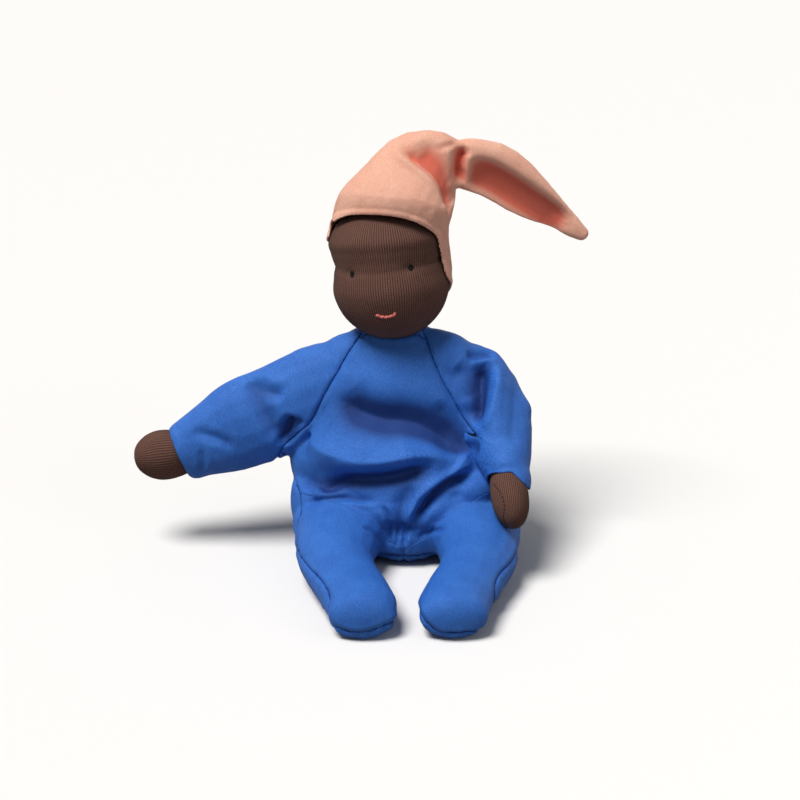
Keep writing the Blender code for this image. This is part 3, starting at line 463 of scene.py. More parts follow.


# %% [markdown]
# Materials are built from shared node groups: a plain weave for the suit and the cap, a rib knit for the skin,
# and a fuzz that breaks up every colour. The groups only put out heights and masks; the masks of the gaps between
# threads and ribs are painted shade. The shader that turns them into a finish stays in each material.

# %% Shader helpers
def node(tree, kind, label=None, **values):
    made = tree.nodes.new(kind)
    if label:
        made.label = label
    for name, value in values.items():
        if hasattr(made, name):
            setattr(made, name, value)
    return made


def math_node(tree, operation, first, second=None):
    made = node(tree, "ShaderNodeMath", operation=operation)
    for socket, value in zip(made.inputs, (first, second)):
        if value is None:
            continue
        if isinstance(value, (int, float)):
            socket.default_value = value
        else:
            tree.links.new(value, socket)
    return made.outputs[0]


def new_group(name, inputs, outputs):
    group = bpy.data.node_groups.new(name, "ShaderNodeTree")
    for socket, kind, value in inputs:
        made = group.interface.new_socket(name=socket, in_out="INPUT", socket_type=kind)
        if value is not None:
            made.default_value = value
    for socket in outputs:
        group.interface.new_socket(name=socket, in_out="OUTPUT", socket_type="NodeSocketFloat")
    return group, group.nodes.new("NodeGroupInput"), group.nodes.new("NodeGroupOutput")


def mixed(tree, factor, first, second):
    """A colour between two: colours are tuples or sockets."""
    made = node(tree, "ShaderNodeMix", data_type="RGBA")
    tree.links.new(factor, made.inputs[0])
    for socket, value in ((made.inputs[6], first), (made.inputs[7], second)):
        if isinstance(value, tuple):
            socket.default_value = (*value, 1)
        else:
            tree.links.new(value, socket)
    return made.outputs[2]


def noise_at(tree, place, scale, detail=3.0, rough=0.55):
    made = node(tree, "ShaderNodeTexNoise")
    made.inputs["Scale"].default_value = scale
    made.inputs["Detail"].default_value = detail
    made.inputs["Roughness"].default_value = rough
    tree.links.new(place, made.inputs["Vector"])
    return made.outputs["Fac"]


# %% Plain weave
weave, weave_in, weave_out = new_group("plain_weave", [
    ("Place", "NodeSocketVector", None), ("Threads per mm", "NodeSocketFloat", 2.4),
    ("Unevenness", "NodeSocketFloat", 0.35)], ["Height", "Painted gap shade", "Slub"])
wobble = noise_at(weave, weave_in.outputs["Place"], 1.1, 3.0)
shift = math_node(weave, "MULTIPLY", math_node(weave, "SUBTRACT", wobble, 0.5), weave_in.outputs["Unevenness"])
split = node(weave, "ShaderNodeSeparateXYZ")
weave.links.new(weave_in.outputs["Place"], split.inputs[0])
waves = []
for axis in (0, 1):
    turn = math_node(weave, "MULTIPLY", math_node(weave, "ADD", split.outputs[axis], shift),
                     weave_in.outputs["Threads per mm"])
    waves.append(math_node(weave, "SINE", math_node(weave, "MULTIPLY", turn, math.pi)))
over = math_node(weave, "MULTIPLY", waves[0], waves[1])
side = math_node(weave, "MULTIPLY", math_node(weave, "SIGN", over), 0.25)
warp = math_node(weave, "MULTIPLY", math_node(weave, "ABSOLUTE", waves[0]), math_node(weave, "ADD", 0.7, side))
weft = math_node(weave, "MULTIPLY", math_node(weave, "ABSOLUTE", waves[1]), math_node(weave, "SUBTRACT", 0.7, side))
height = math_node(weave, "MAXIMUM", warp, weft)
weave.links.new(height, weave_out.inputs["Height"])
# The gap between the threads is a mask of painted shade.
weave.links.new(math_node(weave, "SUBTRACT", 1.0, height), weave_out.inputs["Painted gap shade"])
stretch = node(weave, "ShaderNodeVectorMath", operation="MULTIPLY")
stretch.inputs[1].default_value = (2.6, 0.12, 1.0)
weave.links.new(weave_in.outputs["Place"], stretch.inputs[0])
weave.links.new(noise_at(weave, stretch.outputs[0], 1.0, 2.0), weave_out.inputs["Slub"])

# %% Rib knit
knit, knit_in, knit_out = new_group("rib_knit", [
    ("Place", "NodeSocketVector", None), ("Stitch height", "NodeSocketFloat", 0.9)],
    ["Height", "Painted groove shade", "Stitch"])
split = node(knit, "ShaderNodeSeparateXYZ")
knit.links.new(knit_in.outputs["Place"], split.inputs[0])
across = math_node(knit, "ABSOLUTE", math_node(knit, "SUBTRACT", math_node(knit, "FRACT", split.outputs[0]), 0.5))
rise = math_node(knit, "DIVIDE", split.outputs[1], knit_in.outputs["Stitch height"])
vee = math_node(knit, "ADD", rise, math_node(knit, "MULTIPLY", across, 1.1))
loop = math_node(knit, "ABSOLUTE", math_node(knit, "SINE", math_node(knit, "MULTIPLY", vee, math.pi)))
rib = math_node(knit, "COSINE", math_node(knit, "MULTIPLY", across, math.pi))
strand = math_node(knit, "MULTIPLY", rib, math_node(knit, "ADD", 0.62, math_node(knit, "MULTIPLY", loop, 0.38)))
knit.links.new(strand, knit_out.inputs["Height"])
# The groove between the ribs is a mask of painted shade.
knit.links.new(math_node(knit, "SUBTRACT", 1.0, rib), knit_out.inputs["Painted groove shade"])
knit.links.new(loop, knit_out.inputs["Stitch"])

# %% Fuzz
fuzz, fuzz_in, fuzz_out = new_group("fuzz", [
    ("Place", "NodeSocketVector", None), ("Patch size", "NodeSocketFloat", 12.0)], ["Fine", "Patch"])
fuzz.links.new(noise_at(fuzz, fuzz_in.outputs["Place"], 1500.0, 4.0, 0.75), fuzz_out.inputs["Fine"])
broad = node(fuzz, "ShaderNodeVectorMath", operation="SCALE")
fuzz.links.new(fuzz_in.outputs["Place"], broad.inputs[0])
fuzz.links.new(math_node(fuzz, "DIVIDE", 1000.0, fuzz_in.outputs["Patch size"]), broad.inputs["Scale"])
fuzz.links.new(noise_at(fuzz, broad.outputs[0], 1.0, 3.0), fuzz_out.inputs["Patch"])


# %% Cloth materials
def cloth_material(name, pattern, dark, light, deep, slots, bump, rough, sheen, sheen_colour, fine=0.35,
                   gap_shade_share=0.6, gloss=0.25):
    """A cloth from a pattern group: its colour runs from dark to light over broad patches, and towards deep with
    painted shade in the gaps, along the seams and in the folds.
    """
    material = bpy.data.materials.new(name)
    material.use_nodes = True
    tree = material.node_tree
    shader = tree.nodes["Principled BSDF"]
    place = node(tree, "ShaderNodeUVMap")
    place.uv_map = "cloth"
    solid = node(tree, "ShaderNodeTexCoord")
    pattern_node = node(tree, "ShaderNodeGroup", node_tree=pattern)
    tree.links.new(place.outputs[0], pattern_node.inputs["Place"])
    for socket, value in slots.items():
        pattern_node.inputs[socket].default_value = value
    fluff = node(tree, "ShaderNodeGroup", node_tree=fuzz)
    tree.links.new(solid.outputs["Object"], fluff.inputs["Place"])
    third = pattern_node.outputs[2]
    patch = math_node(tree, "ADD", math_node(tree, "MULTIPLY", fluff.outputs["Patch"], 0.45),
                      math_node(tree, "MULTIPLY", third, 0.35))
    specks = math_node(tree, "MULTIPLY", math_node(tree, "SUBTRACT", fluff.outputs["Fine"], 0.42), 1.3)
    patch = math_node(tree, "ADD", patch, specks)
    base = mixed(tree, patch, dark, light)
    # Painted shade: the pattern's gaps between threads or ribs, and the seam attribute's seams and folds, mix the
    # colour towards the deep colour.
    painted_gap_shade = math_node(tree, "MULTIPLY", pattern_node.outputs[1], gap_shade_share)
    sewn = node(tree, "ShaderNodeAttribute", attribute_name="seam")
    painted_shade_mix = math_node(tree, "MULTIPLY", sewn.outputs["Fac"], 0.85)
    colour = mixed(tree, math_node(tree, "MAXIMUM", painted_gap_shade, painted_shade_mix), base, deep)
    tree.links.new(colour, shader.inputs["Base Color"])
    nap = math_node(tree, "MULTIPLY", fluff.outputs["Fine"], fine)
    grain = math_node(tree, "ADD", pattern_node.outputs["Height"], nap)
    raised = node(tree, "ShaderNodeBump")
    raised.inputs["Strength"].default_value = bump
    raised.inputs["Distance"].default_value = 0.25 * MM
    tree.links.new(grain, raised.inputs["Height"])
    tree.links.new(raised.outputs[0], shader.inputs["Normal"])
    shader.inputs["Roughness"].default_value = rough
    shader.inputs["Specular IOR Level"].default_value = gloss
    shader.inputs["Sheen Weight"].default_value = sheen
    shader.inputs["Sheen Roughness"].default_value = 0.45
    shader.inputs["Sheen Tint"].default_value = (*sheen_colour, 1)
    return material


# The third colour of each cloth is its painted shade; the cap's coral also paints the red light bounced into its
# shade.
suit_cloth = cloth_material("suit_cloth", weave, (0.006, 0.075, 0.42), (0.065, 0.29, 0.90), (0.002, 0.008, 0.10),
                            {"Threads per mm": 1.9, "Unevenness": 1.3}, 0.6, 0.52, 0.03, (0.4, 0.6, 1.0), fine=0.7,
                            gloss=0.3)
cap_cloth = cloth_material("cap_cloth", weave, (0.88, 0.41, 0.275), (0.98, 0.74, 0.57), (0.70, 0.09, 0.05),
                           {"Threads per mm": 1.8, "Unevenness": 1.5}, 0.6, 0.85, 0.2, (1.0, 0.85, 0.75), fine=0.8)
skin_knit = cloth_material("skin_knit", knit, (0.085, 0.037, 0.027), (0.215, 0.105, 0.078), (0.009, 0.004, 0.003),
                           {"Stitch height": 0.95}, 0.8, 0.9, 0.06, (0.75, 0.5, 0.4), fine=0.5, gap_shade_share=0.85)


def thread_material(name, dark, light, rough, sheen=0.2, scale=1800.0):
    """Thread or loose wool: fine fibres in its own colour."""
    material = bpy.data.materials.new(name)
    material.use_nodes = True
    tree = material.node_tree
    shader = tree.nodes["Principled BSDF"]
    solid = node(tree, "ShaderNodeTexCoord")
    fibres = noise_at(tree, solid.outputs["Object"], scale, 4.0, 0.7)
    tree.links.new(mixed(tree, fibres, dark, light), shader.inputs["Base Color"])
    raised = node(tree, "ShaderNodeBump")
    raised.inputs["Strength"].default_value = 0.6
    raised.inputs["Distance"].default_value = 0.2 * MM
    tree.links.new(fibres, raised.inputs["Height"])
    tree.links.new(raised.outputs[0], shader.inputs["Normal"])
    shader.inputs["Roughness"].default_value = rough
    shader.inputs["Specular IOR Level"].default_value = 0.12
    shader.inputs["Sheen Weight"].default_value = sheen
    return material


wool = thread_material("wool", (0.62, 0.56, 0.46), (0.86, 0.81, 0.71), 0.95, 0.4, 900.0)
gauze = thread_material("gauze", (0.74, 0.72, 0.67), (0.9, 0.88, 0.84), 0.9)
white_thread = thread_material("white_thread", (0.66, 0.64, 0.58), (0.85, 0.83, 0.78), 0.7)
eye_thread = thread_material("eye_thread", (0.002, 0.0018, 0.002), (0.007, 0.006, 0.006), 0.6, 0.0)
mouth_thread = thread_material("mouth_thread", (0.52, 0.11, 0.09), (0.8, 0.26, 0.21), 0.7, 0.0)
seam_thread = thread_material("seam_thread", (0.012, 0.007, 0.006), (0.03, 0.018, 0.015), 0.6, 0.0)
print("materials:", len(bpy.data.materials))

# %% [markdown]
# The suit is one garment over the stuffed body, with sleeves set in along raglan seams. Two skins are made: one
# over the trunk, the legs and the doll's right arm, and one over its left arm, which hangs against the trunk
# and has to swing away from it. Near the left shoulder both skins run over the same solids, so they meet there.

# %% Where the seams run
RIGHT_RAGLAN = [(368, 322), (361, 334), (350, 350), (338, 371), (324, 396), (311, 421), (297, 434), (284, 446),
                (276, 462), (262, 500)]
LEFT_RAGLAN = [(417, 318), (422, 330), (427, 343), (433, 360), (442, 380), (453, 400), (465, 421), (478, 438),
               (487, 448), (520, 480)]
TRUNK = ("suit_front", "suit_back", "torso_stuffing")
RIGHT_ARM = ("right_sleeve", "right_arm_stuffing", "right_hand_skin", "right_hand_stuffing", "right_hand_tie")
LEFT_ARM = ("left_sleeve", "left_arm_stuffing", "left_hand_skin", "left_hand_stuffing", "left_hand_tie")
LEGS = tuple(f"{side}_leg_{part}" for side in ("right", "left") for part in ("front", "back", "stuffing"))
ARMPIT = 66.5 * MM
NECK = np.array((-7.0, 1.0)) * MM
NECK_HOLE = 10.6 * MM
RIGHT_RAGLAN_LINE = np.array(((-24.0, 109.0), (-60.5, 49.5))) * MM
LEFT_RAGLAN_LINE = np.array(((9.0, 109.0), (37.5, 56.0))) * MM
RIGHT_CUFF = (np.array((-114.0, -5.0, 51.0)) * MM, np.array((-0.927, -0.077, -0.367)))
LEFT_CUFF = (np.array((49.5, -38.0, 46.2)) * MM, np.array((-0.36, -0.70, -0.61)))
CROTCH = np.array((-1.5, -33.0, 7.0)) * MM
RIGHT_LEG_WAY = np.array((-0.45, -0.70, -0.55)) / math.hypot(0.45, 0.70, 0.55)
LEFT_LEG_WAY = RIGHT_LEG_WAY * (-1, 1, 1)
SIDE_SEAM = -6.0 * MM
RAGLAN_MIRROR = -2.0 * MM
HIP_SEAM_AHEAD = 13.0 * MM
RIGHT_SIDE_SEAM = [(284, 450), (288, 468), (295, 483), (300, 493), (300, 515), (296, 530), (297, 549), (306, 565),
                   (321, 580), (330, 597), (328, 611), (335, 627), (360, 633), (382, 627), (399, 618), (430, 604)]
LEFT_SIDE_SEAM = [(530, 525), (522, 543), (512, 561), (497, 579), (494, 603), (491, 625), (474, 636), (458, 638),
                  (437, 632), (420, 613), (410, 590)]
LEG_SEAM = 7.0 * MM
TOE_SEAM_DROP = 2.0 * MM


def eased(share):
    share = np.clip(share, 0, 1)
    return share * share * (3 - 2 * share)


def in_picture(points):
    """Where places are seen in the picture, in pixels."""
    apart = points - EYE
    ahead = apart @ AHEAD
    focal = LENS / SENSOR * PICTURE
    return np.stack((PICTURE / 2 + focal * apart[:, 0] / ahead, PICTURE / 2 - focal * (apart @ ABOVE) / ahead), 1)


def beside_line(points, line):
    """Signed distance at the doll from a line drawn in the picture: positive on its right-hand side."""
    seen = in_picture(points)
    line = smooth_line(line, 90)
    best, sign = np.full(len(points), 1e9), np.ones(len(points))
    for a, b in zip(line, line[1:]):
        way = b - a
        share = np.clip(((seen - a) @ way) / (way @ way), 0, 1)
        apart = seen - (a + share[:, None] * way)
        away = np.linalg.norm(apart, axis=1)
        sign = np.where(away < best, np.sign(way[0] * apart[:, 1] - way[1] * apart[:, 0]), sign)
        best = np.minimum(best, away)
    return best * sign * 0.5 * MM


def past_raglan(points, seam, side):
    """Distance past a raglan seam drawn in the picture; the back of the suit is cut as a mirror of its front."""
    mirrored = points.copy()
    mirrored[:, 1] = RAGLAN_MIRROR - np.abs(points[:, 1] - RAGLAN_MIRROR)
    return beside_line(mirrored, seam) * (1 if side < 0 else -1)


def side_seam(points):
    """Distance behind the side seam: it runs forward over the hips, and on the right as the picture shows."""
    behind = points[:, 1] - SIDE_SEAM + HIP_SEAM_AHEAD * eased((46 * MM - points[:, 2]) / (16 * MM))
    outside = beside_line(points, RIGHT_SIDE_SEAM)
    return np.where((points[:, 0] < 0) & (points[:, 2] < 54 * MM), np.maximum(behind, outside), behind)


def leg_seam(points):
    """Distance above each leg's seam: drawn in the picture outside and at the toes, low and level inside."""
    low = points[:, 2] - (LEG_SEAM - TOE_SEAM_DROP * eased((-80 * MM - points[:, 1]) / (26 * MM)))
    inside = np.where(points[:, 0] < 0, -beside_line(points, RIGHT_SIDE_SEAM), beside_line(points, LEFT_SIDE_SEAM))
    return np.minimum(low, inside)


def past_neckline(points):
    """Positive inside the neckline's opening."""
    inside = NECK_HOLE - np.linalg.norm(points[:, :2] - NECK, axis=1)
    return np.where(points[:, 2] > 105 * MM, inside, -1.0)


def out_of_line(line, side):
    way = line[1] - line[0]
    out = np.array((way[1], -way[0])) / np.linalg.norm(way) * (1 if side < 0 else -1)
    return Vector((out[0], 0, out[1]))


# %% The two skins
SUIT_VOXEL = 0.85 * MM
neck_plug = plump((-7.0, 1.0, 96.0), (15.0, 12.5, 12.0))
right_slope = plump((-41.5, 0.0, 94.0), (24.0, 13.0, 10.0), (0, -26, 0))
left_slope = plump((22.5, -1.0, 97.6), (22.5, 13.0, 10.5), (0, 21, 0))
right_flank = plump((-44.0, -2.0, 47.0), (15.0, 19.0, 19.0))
collar = frustum((-7.0, 1.0), (95.0, 31.0, 15.0), (112.8, 15.5, 11.8))
lap = [plump((-33.0, 8.0, 9.5), (14.0, 12.0, 9.0)), plump((33.0, 8.0, 9.5), (14.0, 12.0, 9.0)),
       plump((-2.0, -25.0, 31.0), (46.0, 14.0, 13.5)), plump((-1.5, -25.0, 14.5), (23.0, 11.0, 13.5)),
       plump((-42.5, -9.0, 28.0), (16.5, 20.0, 22.0)), plump((41.0, -14.0, 31.0), (15.0, 17.0, 15.0)),
       plump((-36.0, -23.0, 39.0), (13.0, 12.0, 10.0)), plump((33.0, -23.0, 40.0), (13.0, 12.0, 10.0)),
       plump((-26.0, -29.0, 19.0), (16.0, 13.0, 17.0)), plump((25.0, -29.0, 19.0), (16.0, 13.0, 17.0))]
left_cuff_fill = plump((50.0, -36.0, 48.0), (10.9, 12.6, 13.0), (-45, 0, 0))
left_out = out_of_line(LEFT_RAGLAN_LINE, 1)
left_top = Vector((LEFT_RAGLAN_LINE[0][0], 0, LEFT_RAGLAN_LINE[0][1]))
body_forms = [clipped(n, []) for n in TRUNK + RIGHT_ARM + LEGS]
body_forms += [clipped(n, [(Vector((0, 0, ARMPIT)), Vector((0, 0, -1)))]) for n in LEFT_ARM[:2]]
body_forms += [neck_plug, collar, right_slope, left_slope, right_flank, *lap]
body = skin_over("body_skin", body_forms, SUIT_VOXEL, 24, soften=12)
shoulder_zone = [(Vector((0, 0, ARMPIT + 0.5 * MM)), Vector((0, 0, -1))),
                 (left_top - left_out * 5 * MM, -left_out)]
arm_forms = [clipped(n, []) for n in LEFT_ARM] + [clipped(n, shoulder_zone) for n in TRUNK]
arm_forms += [neck_plug, collar, left_slope, left_cuff_fill]
left_arm_skin = skin_over("left_arm_skin", arm_forms, SUIT_VOXEL, 24, soften=12)
print("body skin:", len(body.data.polygons), "faces, left arm skin:", len(left_arm_skin.data.polygons))

# %% Folds of the suit
SUIT_PULLS = [
    ((-91, -3, 82), 13, (0.5, 0, 2.6)),
    ((-105, -4, 36), 5, (0, 0, -2.2)),
    ((-31, -1, 106), 11, (0, 0, 4.2)),
    ((-21, 0, 112), 8, (0, 0, 2.2)),
    ((44, -4, 100), 9, (0, 0, 3.4)),
    ((24, -2, 108), 11, (0, 0, 3.6)),
    ((11, 0, 112), 8, (0, 0, 3.6)),
    ((60, -12, 77), 5, (1.4, 0, 0.8)),
    ((60, -8, 93), 8, (-1.8, 0, -1.0)),
]
SUIT_FORMS = [
    (9.0, 9.2, 0.0, 1.0, [(334, 386), (344, 402), (362, 413), (385, 419), (412, 421), (440, 431), (482, 455)]),
    (5.0, 4.0, 0.0, 0.4, [(440, 430), (458, 440), (478, 455)]),
    (6.0, -5.0, 0.0, 0.0, [(298, 432), (326, 451), (366, 461), (410, 457), (445, 455), (480, 466)]),
    (5.8, 8.4, 0.3, 1.8, [(284, 473), (308, 480), (350, 482), (392, 478), (420, 469), (442, 463)]),
    (2.2, 4.2, 1.0, 0.0, [(292, 480), (310, 485), (350, 487), (385, 485), (410, 478)]),
    (3.6, 2.6, 0.0, 0.4, [(436, 400), (450, 421), (466, 441), (481, 456)]),
    (6.0, 3.0, 0.3, 0.3, [(286, 440), (272, 425), (258, 400), (250, 380)]),
    (4.0, 2.6, 0.3, 0.8, [(243, 381), (262, 389), (286, 397)]),
    (4.8, 7.5, 0.4, 3.0, [(484, 359), (483, 375), (480, 392), (477, 410), (472, 428)]),
    (2.6, 3.0, 1.2, 0.3, [(466, 357), (482, 354), (496, 354)]),
    (6.0, 2.2, 0.0, 0.0, [(453, 368), (468, 380), (476, 400)]),
    (4.0, 2.4, 0.2, 0.2, [(404, 542), (401, 520), (404, 500), (413, 482)]),
    (6.0, 2.2, 0.0, 0.0, [(516, 380), (516, 405), (512, 450)]),
    (5.0, -1.6, 0.0, 0.0, [(498, 372), (500, 400), (497, 440)]),
]
SUIT_FOLDS = [
    (3.2, 6.0, 0.4, 0.8, [(284, 447), (287, 430), (295, 415)]),
    (2.6, 3.4, 0.8, 0.3, [(289, 442), (296, 426), (304, 419)]),
    (1.9, 2.4, 1.0, 0.2, [(303, 504), (322, 500), (350, 498), (378, 502)]),
    (3.0, 5.6, 0.4, 2.4, [(413, 533), (418, 519), (428, 502), (446, 487), (478, 470)]),
    (1.6, 1.7, 0.5, 0.4, [(388, 547), (390, 531), (388, 516), (379, 504)]),
    (1.3, 1.4, 0.4, 0.4, [(396, 548), (398, 534), (394, 519)]),
    (1.4, 1.4, 0.4, 0.5, [(403, 547), (406, 533), (411, 521)]),
    (1.6, 1.3, 0.4, 0.4, [(383, 546), (374, 533), (362, 526)]),
    (1.6, 1.4, 0.4, 0.4, [(417, 540), (428, 532), (446, 530)]),
    (2.0, 1.2, 0.3, 0.3, [(199, 478), (203, 462), (200, 448)]),
    (3.0, 1.6, 0.3, 0.3, [(190, 432), (210, 436), (236, 448)]),
]
skins = [body, left_arm_skin]
for skin in skins:
    set_points(skin.data, coaxed(points_of(skin.data), SUIT_PULLS))
set_points(left_arm_skin.data, coaxed(points_of(left_arm_skin.data), [((38, -24, 58), 9, (-3.2, -1.6, 0))]))
unpressed = [(points_of(skin.data), normals_of(skin.data)) for skin in skins]
suit_traces = press_folds(skins, SUIT_FORMS)
suit_traces += press_folds(skins, SUIT_FOLDS)
# How deep each fold of the suit was pressed in sets its painted shade.
suit_fold_shade = [fold_shade_share(skin, *start, 4.8 * MM) for skin, start in zip(skins, unpressed)]


# %% Small creases and puckers
def distress(piece, seams, seed):
    """Small creases all over, and puckers that run out from each seam, with the seam itself pulled in."""
    points = points_of(piece.data)
    outs = normals_of(piece.data)
    lift = 0.35 * MM * ripple(points, 14 * MM, seed) + 0.08 * MM * ripple(points, 5 * MM, seed + 5)
    for measure, way, pucker in seams(points):
        away = np.abs(measure)
        squeezed = points - np.outer(points @ way, way) * 0.85
        puckers = ripple(squeezed, 3.2 * MM, seed + 9)
        lift += pucker * MM * puckers * np.exp(-away / (4.5 * MM)) * np.where(measure < 0, 1.0, 0.4)
        lift -= 0.6 * MM * np.exp(-(away / (0.9 * MM)) ** 2)
        lift += 0.25 * MM * np.exp(-((away - 2.2 * MM) / (1.5 * MM)) ** 2)
    set_points(piece.data, points + outs * lift[:, None])


def far_where(measure, wanted):
    """A measure that only counts where it is wanted."""
    return np.where(wanted, measure, 1.0)


def body_seams(points):
    """The seams of trunk, right sleeve and legs: (distance, direction across the seam, pucker)."""
    right = past_raglan(points, RIGHT_RAGLAN, -1)
    left = past_raglan(points, LEFT_RAGLAN, 1)
    legs = np.maximum((points - CROTCH) @ RIGHT_LEG_WAY, (points - CROTCH) @ LEFT_LEG_WAY)
    trunk = (legs < 0) & (right < 0) & ((left < 0) | (points[:, 2] < ARMPIT))
    x_way, y_way, z_way = np.eye(3)
    crotch = np.where(np.abs(points[:, 0] - CROTCH[0]) < 9 * MM, points[:, 0] - CROTCH[0], 1.0)
    crotch = far_where(crotch, (points[:, 2] < 26 * MM) & (points[:, 1] < -20 * MM) & (points[:, 1] > -48 * MM))
    return [
        (far_where(right, points[:, 2] > 44 * MM), np.array(out_of_line(RIGHT_RAGLAN_LINE, -1)), 0.12),
        (far_where(left, points[:, 2] > ARMPIT), np.array(out_of_line(LEFT_RAGLAN_LINE, 1)), 0.12),
        (far_where(side_seam(points), trunk & (past_neckline(points) < 0)), y_way, 0.5),
        (far_where(leg_seam(points), legs > 0), z_way, 0.9),
        (crotch, x_way, 0.5),
    ]


def arm_seams(points):
    left = past_raglan(points, LEFT_RAGLAN, 1)
    return [(far_where(left, points[:, 2] > ARMPIT), np.array(out_of_line(LEFT_RAGLAN_LINE, 1)), 0.12)]


distress(body, body_seams, 3.0)
distress(left_arm_skin, arm_seams, 3.0)
body_tree, arm_tree = tree_of(body), tree_of(left_arm_skin)


# %% [markdown]
# The skins are now cut into panels. The trunk's panels ride on the torso. The right sleeve and the four leg
# panels bend from the torso to their limb, starting at the seam, so they never tear away from the trunk. The
# left sleeve swings as one with its arm.

# %% Flat places for the weave
def front_flat(points):
    round_side = np.tanh(points[:, 0] / (15 * MM)) * (points[:, 1] + 25 * MM)
    return np.stack((points[:, 0] + 0.9 * round_side, points[:, 2] + 0.4 * points[:, 1]), 1)


def side_flat(points):
    return np.stack((points[:, 0] * 0.8 + points[:, 1] * 0.6, points[:, 2] - 0.5 * points[:, 0]), 1)


def leg_flat(points):
    return np.stack((points[:, 0] + 0.3 * points[:, 2], points[:, 1] + points[:, 2]), 1)


SUIT_WALL = 0.8 * MM
points = points_of(body.data)
body_pairs = edges_of(body.data)
body_measures = split_along(body, [
    past_raglan(points, RIGHT_RAGLAN, -1),
    past_raglan(points, LEFT_RAGLAN, 1),
    points[:, 2] - ARMPIT,
    (points - CROTCH) @ RIGHT_LEG_WAY,
    (points - CROTCH) @ LEFT_LEG_WAY,
    points[:, 0] - CROTCH[0],
    evened(side_seam(points), body_pairs, 30),
    evened(leg_seam(points), body_pairs, 30),
    past_neckline(points),
    np.where(points[:, 0] < -80 * MM, (points - RIGHT_CUFF[0]) @ RIGHT_CUFF[1], -1.0),
    suit_fold_shade[0],
])
SEAM_DEPTH = 0.45 * MM
# How strongly the pressed folds are darkened with painted shade.
HOLLOW_SHADE = 0.95
past_hip = np.maximum(body_measures[3], body_measures[4])
sewn = [body_measures[0], far_where(body_measures[6], (body_measures[0] < 0) & (past_hip < 0)),
        far_where(body_measures[7], past_hip > 0)]
# Painted shade: the seam lines and the pressed folds darken the suit's colour.
body_painted_shade = np.maximum(pull_seams_in(body, sewn, SEAM_DEPTH), HOLLOW_SHADE * body_measures[10])
points = points_of(body.data)
faces = faces_of(body.data)
at_face = [np.array([m[f].mean() for f in faces]) for m in body_measures[:10]]
right_raglan, left_raglan, armpit, right_leg, left_leg, middle, side, leg_side, neckline, cuff = at_face
open_ends = (neckline < 0) & (cuff < 0)
is_right_sleeve = (right_raglan > 0) & open_ends
is_left_shoulder = (left_raglan > 0) & (armpit > 0)
is_right_leg = (right_leg > 0) & (middle < 0) & ~is_right_sleeve & open_ends
is_left_leg = (left_leg > 0) & (middle > 0) & ~is_left_shoulder & open_ends
is_trunk = open_ends & ~is_right_sleeve & ~is_left_shoulder & ~is_right_leg & ~is_left_leg
print("faces of trunk, right sleeve, legs:", is_trunk.sum(), is_right_sleeve.sum(),
      (is_right_leg | is_left_leg).sum())

# %% Cut the panels
suit_pieces = {
    "suit_front_panel": (is_trunk & (side < 0), front_flat, "torso", None, "suit_front"),
    "suit_back_panel": (is_trunk & (side > 0), front_flat, "torso", None, "suit_back"),
    "right_sleeve_panel": (is_right_sleeve, side_flat, "torso", "right_arm", "right_sleeve"),
    "right_leg_front_panel": (is_right_leg & (leg_side > 0), leg_flat, "torso", "right_leg", "right_leg_front"),
    "right_leg_back_panel": (is_right_leg & (leg_side < 0), leg_flat, "torso", "right_leg", "right_leg_back"),
    "left_leg_front_panel": (is_left_leg & (leg_side > 0), leg_flat, "torso", "left_leg", "left_leg_front"),
    "left_leg_back_panel": (is_left_leg & (leg_side < 0), leg_flat, "torso", "left_leg", "left_leg_back"),
}
ARM_BEND = 26 * MM
LEG_BEND = 24 * MM
arm_start = np.array((RIGHT_RAGLAN_LINE[1][0], 0, RIGHT_RAGLAN_LINE[1][1]))
bends = {
    "right_arm": (arm_start, arm_start + np.array(out_of_line(RIGHT_RAGLAN_LINE, -1)) * ARM_BEND),
    "right_leg": (CROTCH, CROTCH + RIGHT_LEG_WAY * LEG_BEND),
    "left_leg": (CROTCH, CROTCH + LEFT_LEG_WAY * LEG_BEND),
}
for name, (chosen, flat_place, body_name, limb, replaced) in suit_pieces.items():
    piece = panel(name, points, faces, chosen, flat_place, SUIT_WALL, body_painted_shade)
    piece.data.materials.clear()
    piece.data.materials.append(suit_cloth)
    if limb:
        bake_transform(piece, body_name, limb, *bends[limb])
    else:
        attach(piece, body_name)
    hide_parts(replaced)
    print(name, len(piece.data.polygons), "faces")
bpy.data.objects.remove(body)

# %% The left sleeve
points = points_of(left_arm_skin.data)
left_measure = past_raglan(points, LEFT_RAGLAN, 1)
sleeve_tree = tree_of(NODES["left_sleeve"])
near_arm = 3.5 * MM - np.array([sleeve_tree.find_nearest(Vector(p))[3] for p in points])
arm_measures = split_along(left_arm_skin, [
    np.maximum(left_measure, np.minimum(ARMPIT - points[:, 2], near_arm)),
    np.where(points[:, 1] < -20 * MM, (points - LEFT_CUFF[0]) @ LEFT_CUFF[1], -1.0),
    past_neckline(points),
    suit_fold_shade[1],
])
# Painted shade: the seam line and the pressed folds darken the sleeve's colour.
arm_painted_shade = np.maximum(pull_seams_in(left_arm_skin, arm_measures[:1], SEAM_DEPTH),
                            HOLLOW_SHADE * arm_measures[3])
points = points_of(left_arm_skin.data)
faces = faces_of(left_arm_skin.data)
past_seam, past_cuff, past_neck = [np.array([m[f].mean() for f in faces]) for m in arm_measures[:3]]
left_sleeve = panel("left_sleeve_panel", points, faces, (past_seam > 0) & (past_cuff < 0) & (past_neck < 0),
                    side_flat, SUIT_WALL, arm_painted_shade)
left_sleeve.data.materials.clear()
left_sleeve.data.materials.append(suit_cloth)
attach(left_sleeve, "left_arm")
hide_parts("left_sleeve")
bpy.data.objects.remove(left_arm_skin)
print("left sleeve:", len(left_sleeve.data.polygons), "faces")

# %% [markdown]
# The head is a ball of wound wool under a tube of rib knit. Its ribs run down the face like meridians, so they
# are real ridges of the mesh: each rib gets four columns of points. A thread tied round the wool draws the eye
# line in, and each eye's stitches pull a small dimple.

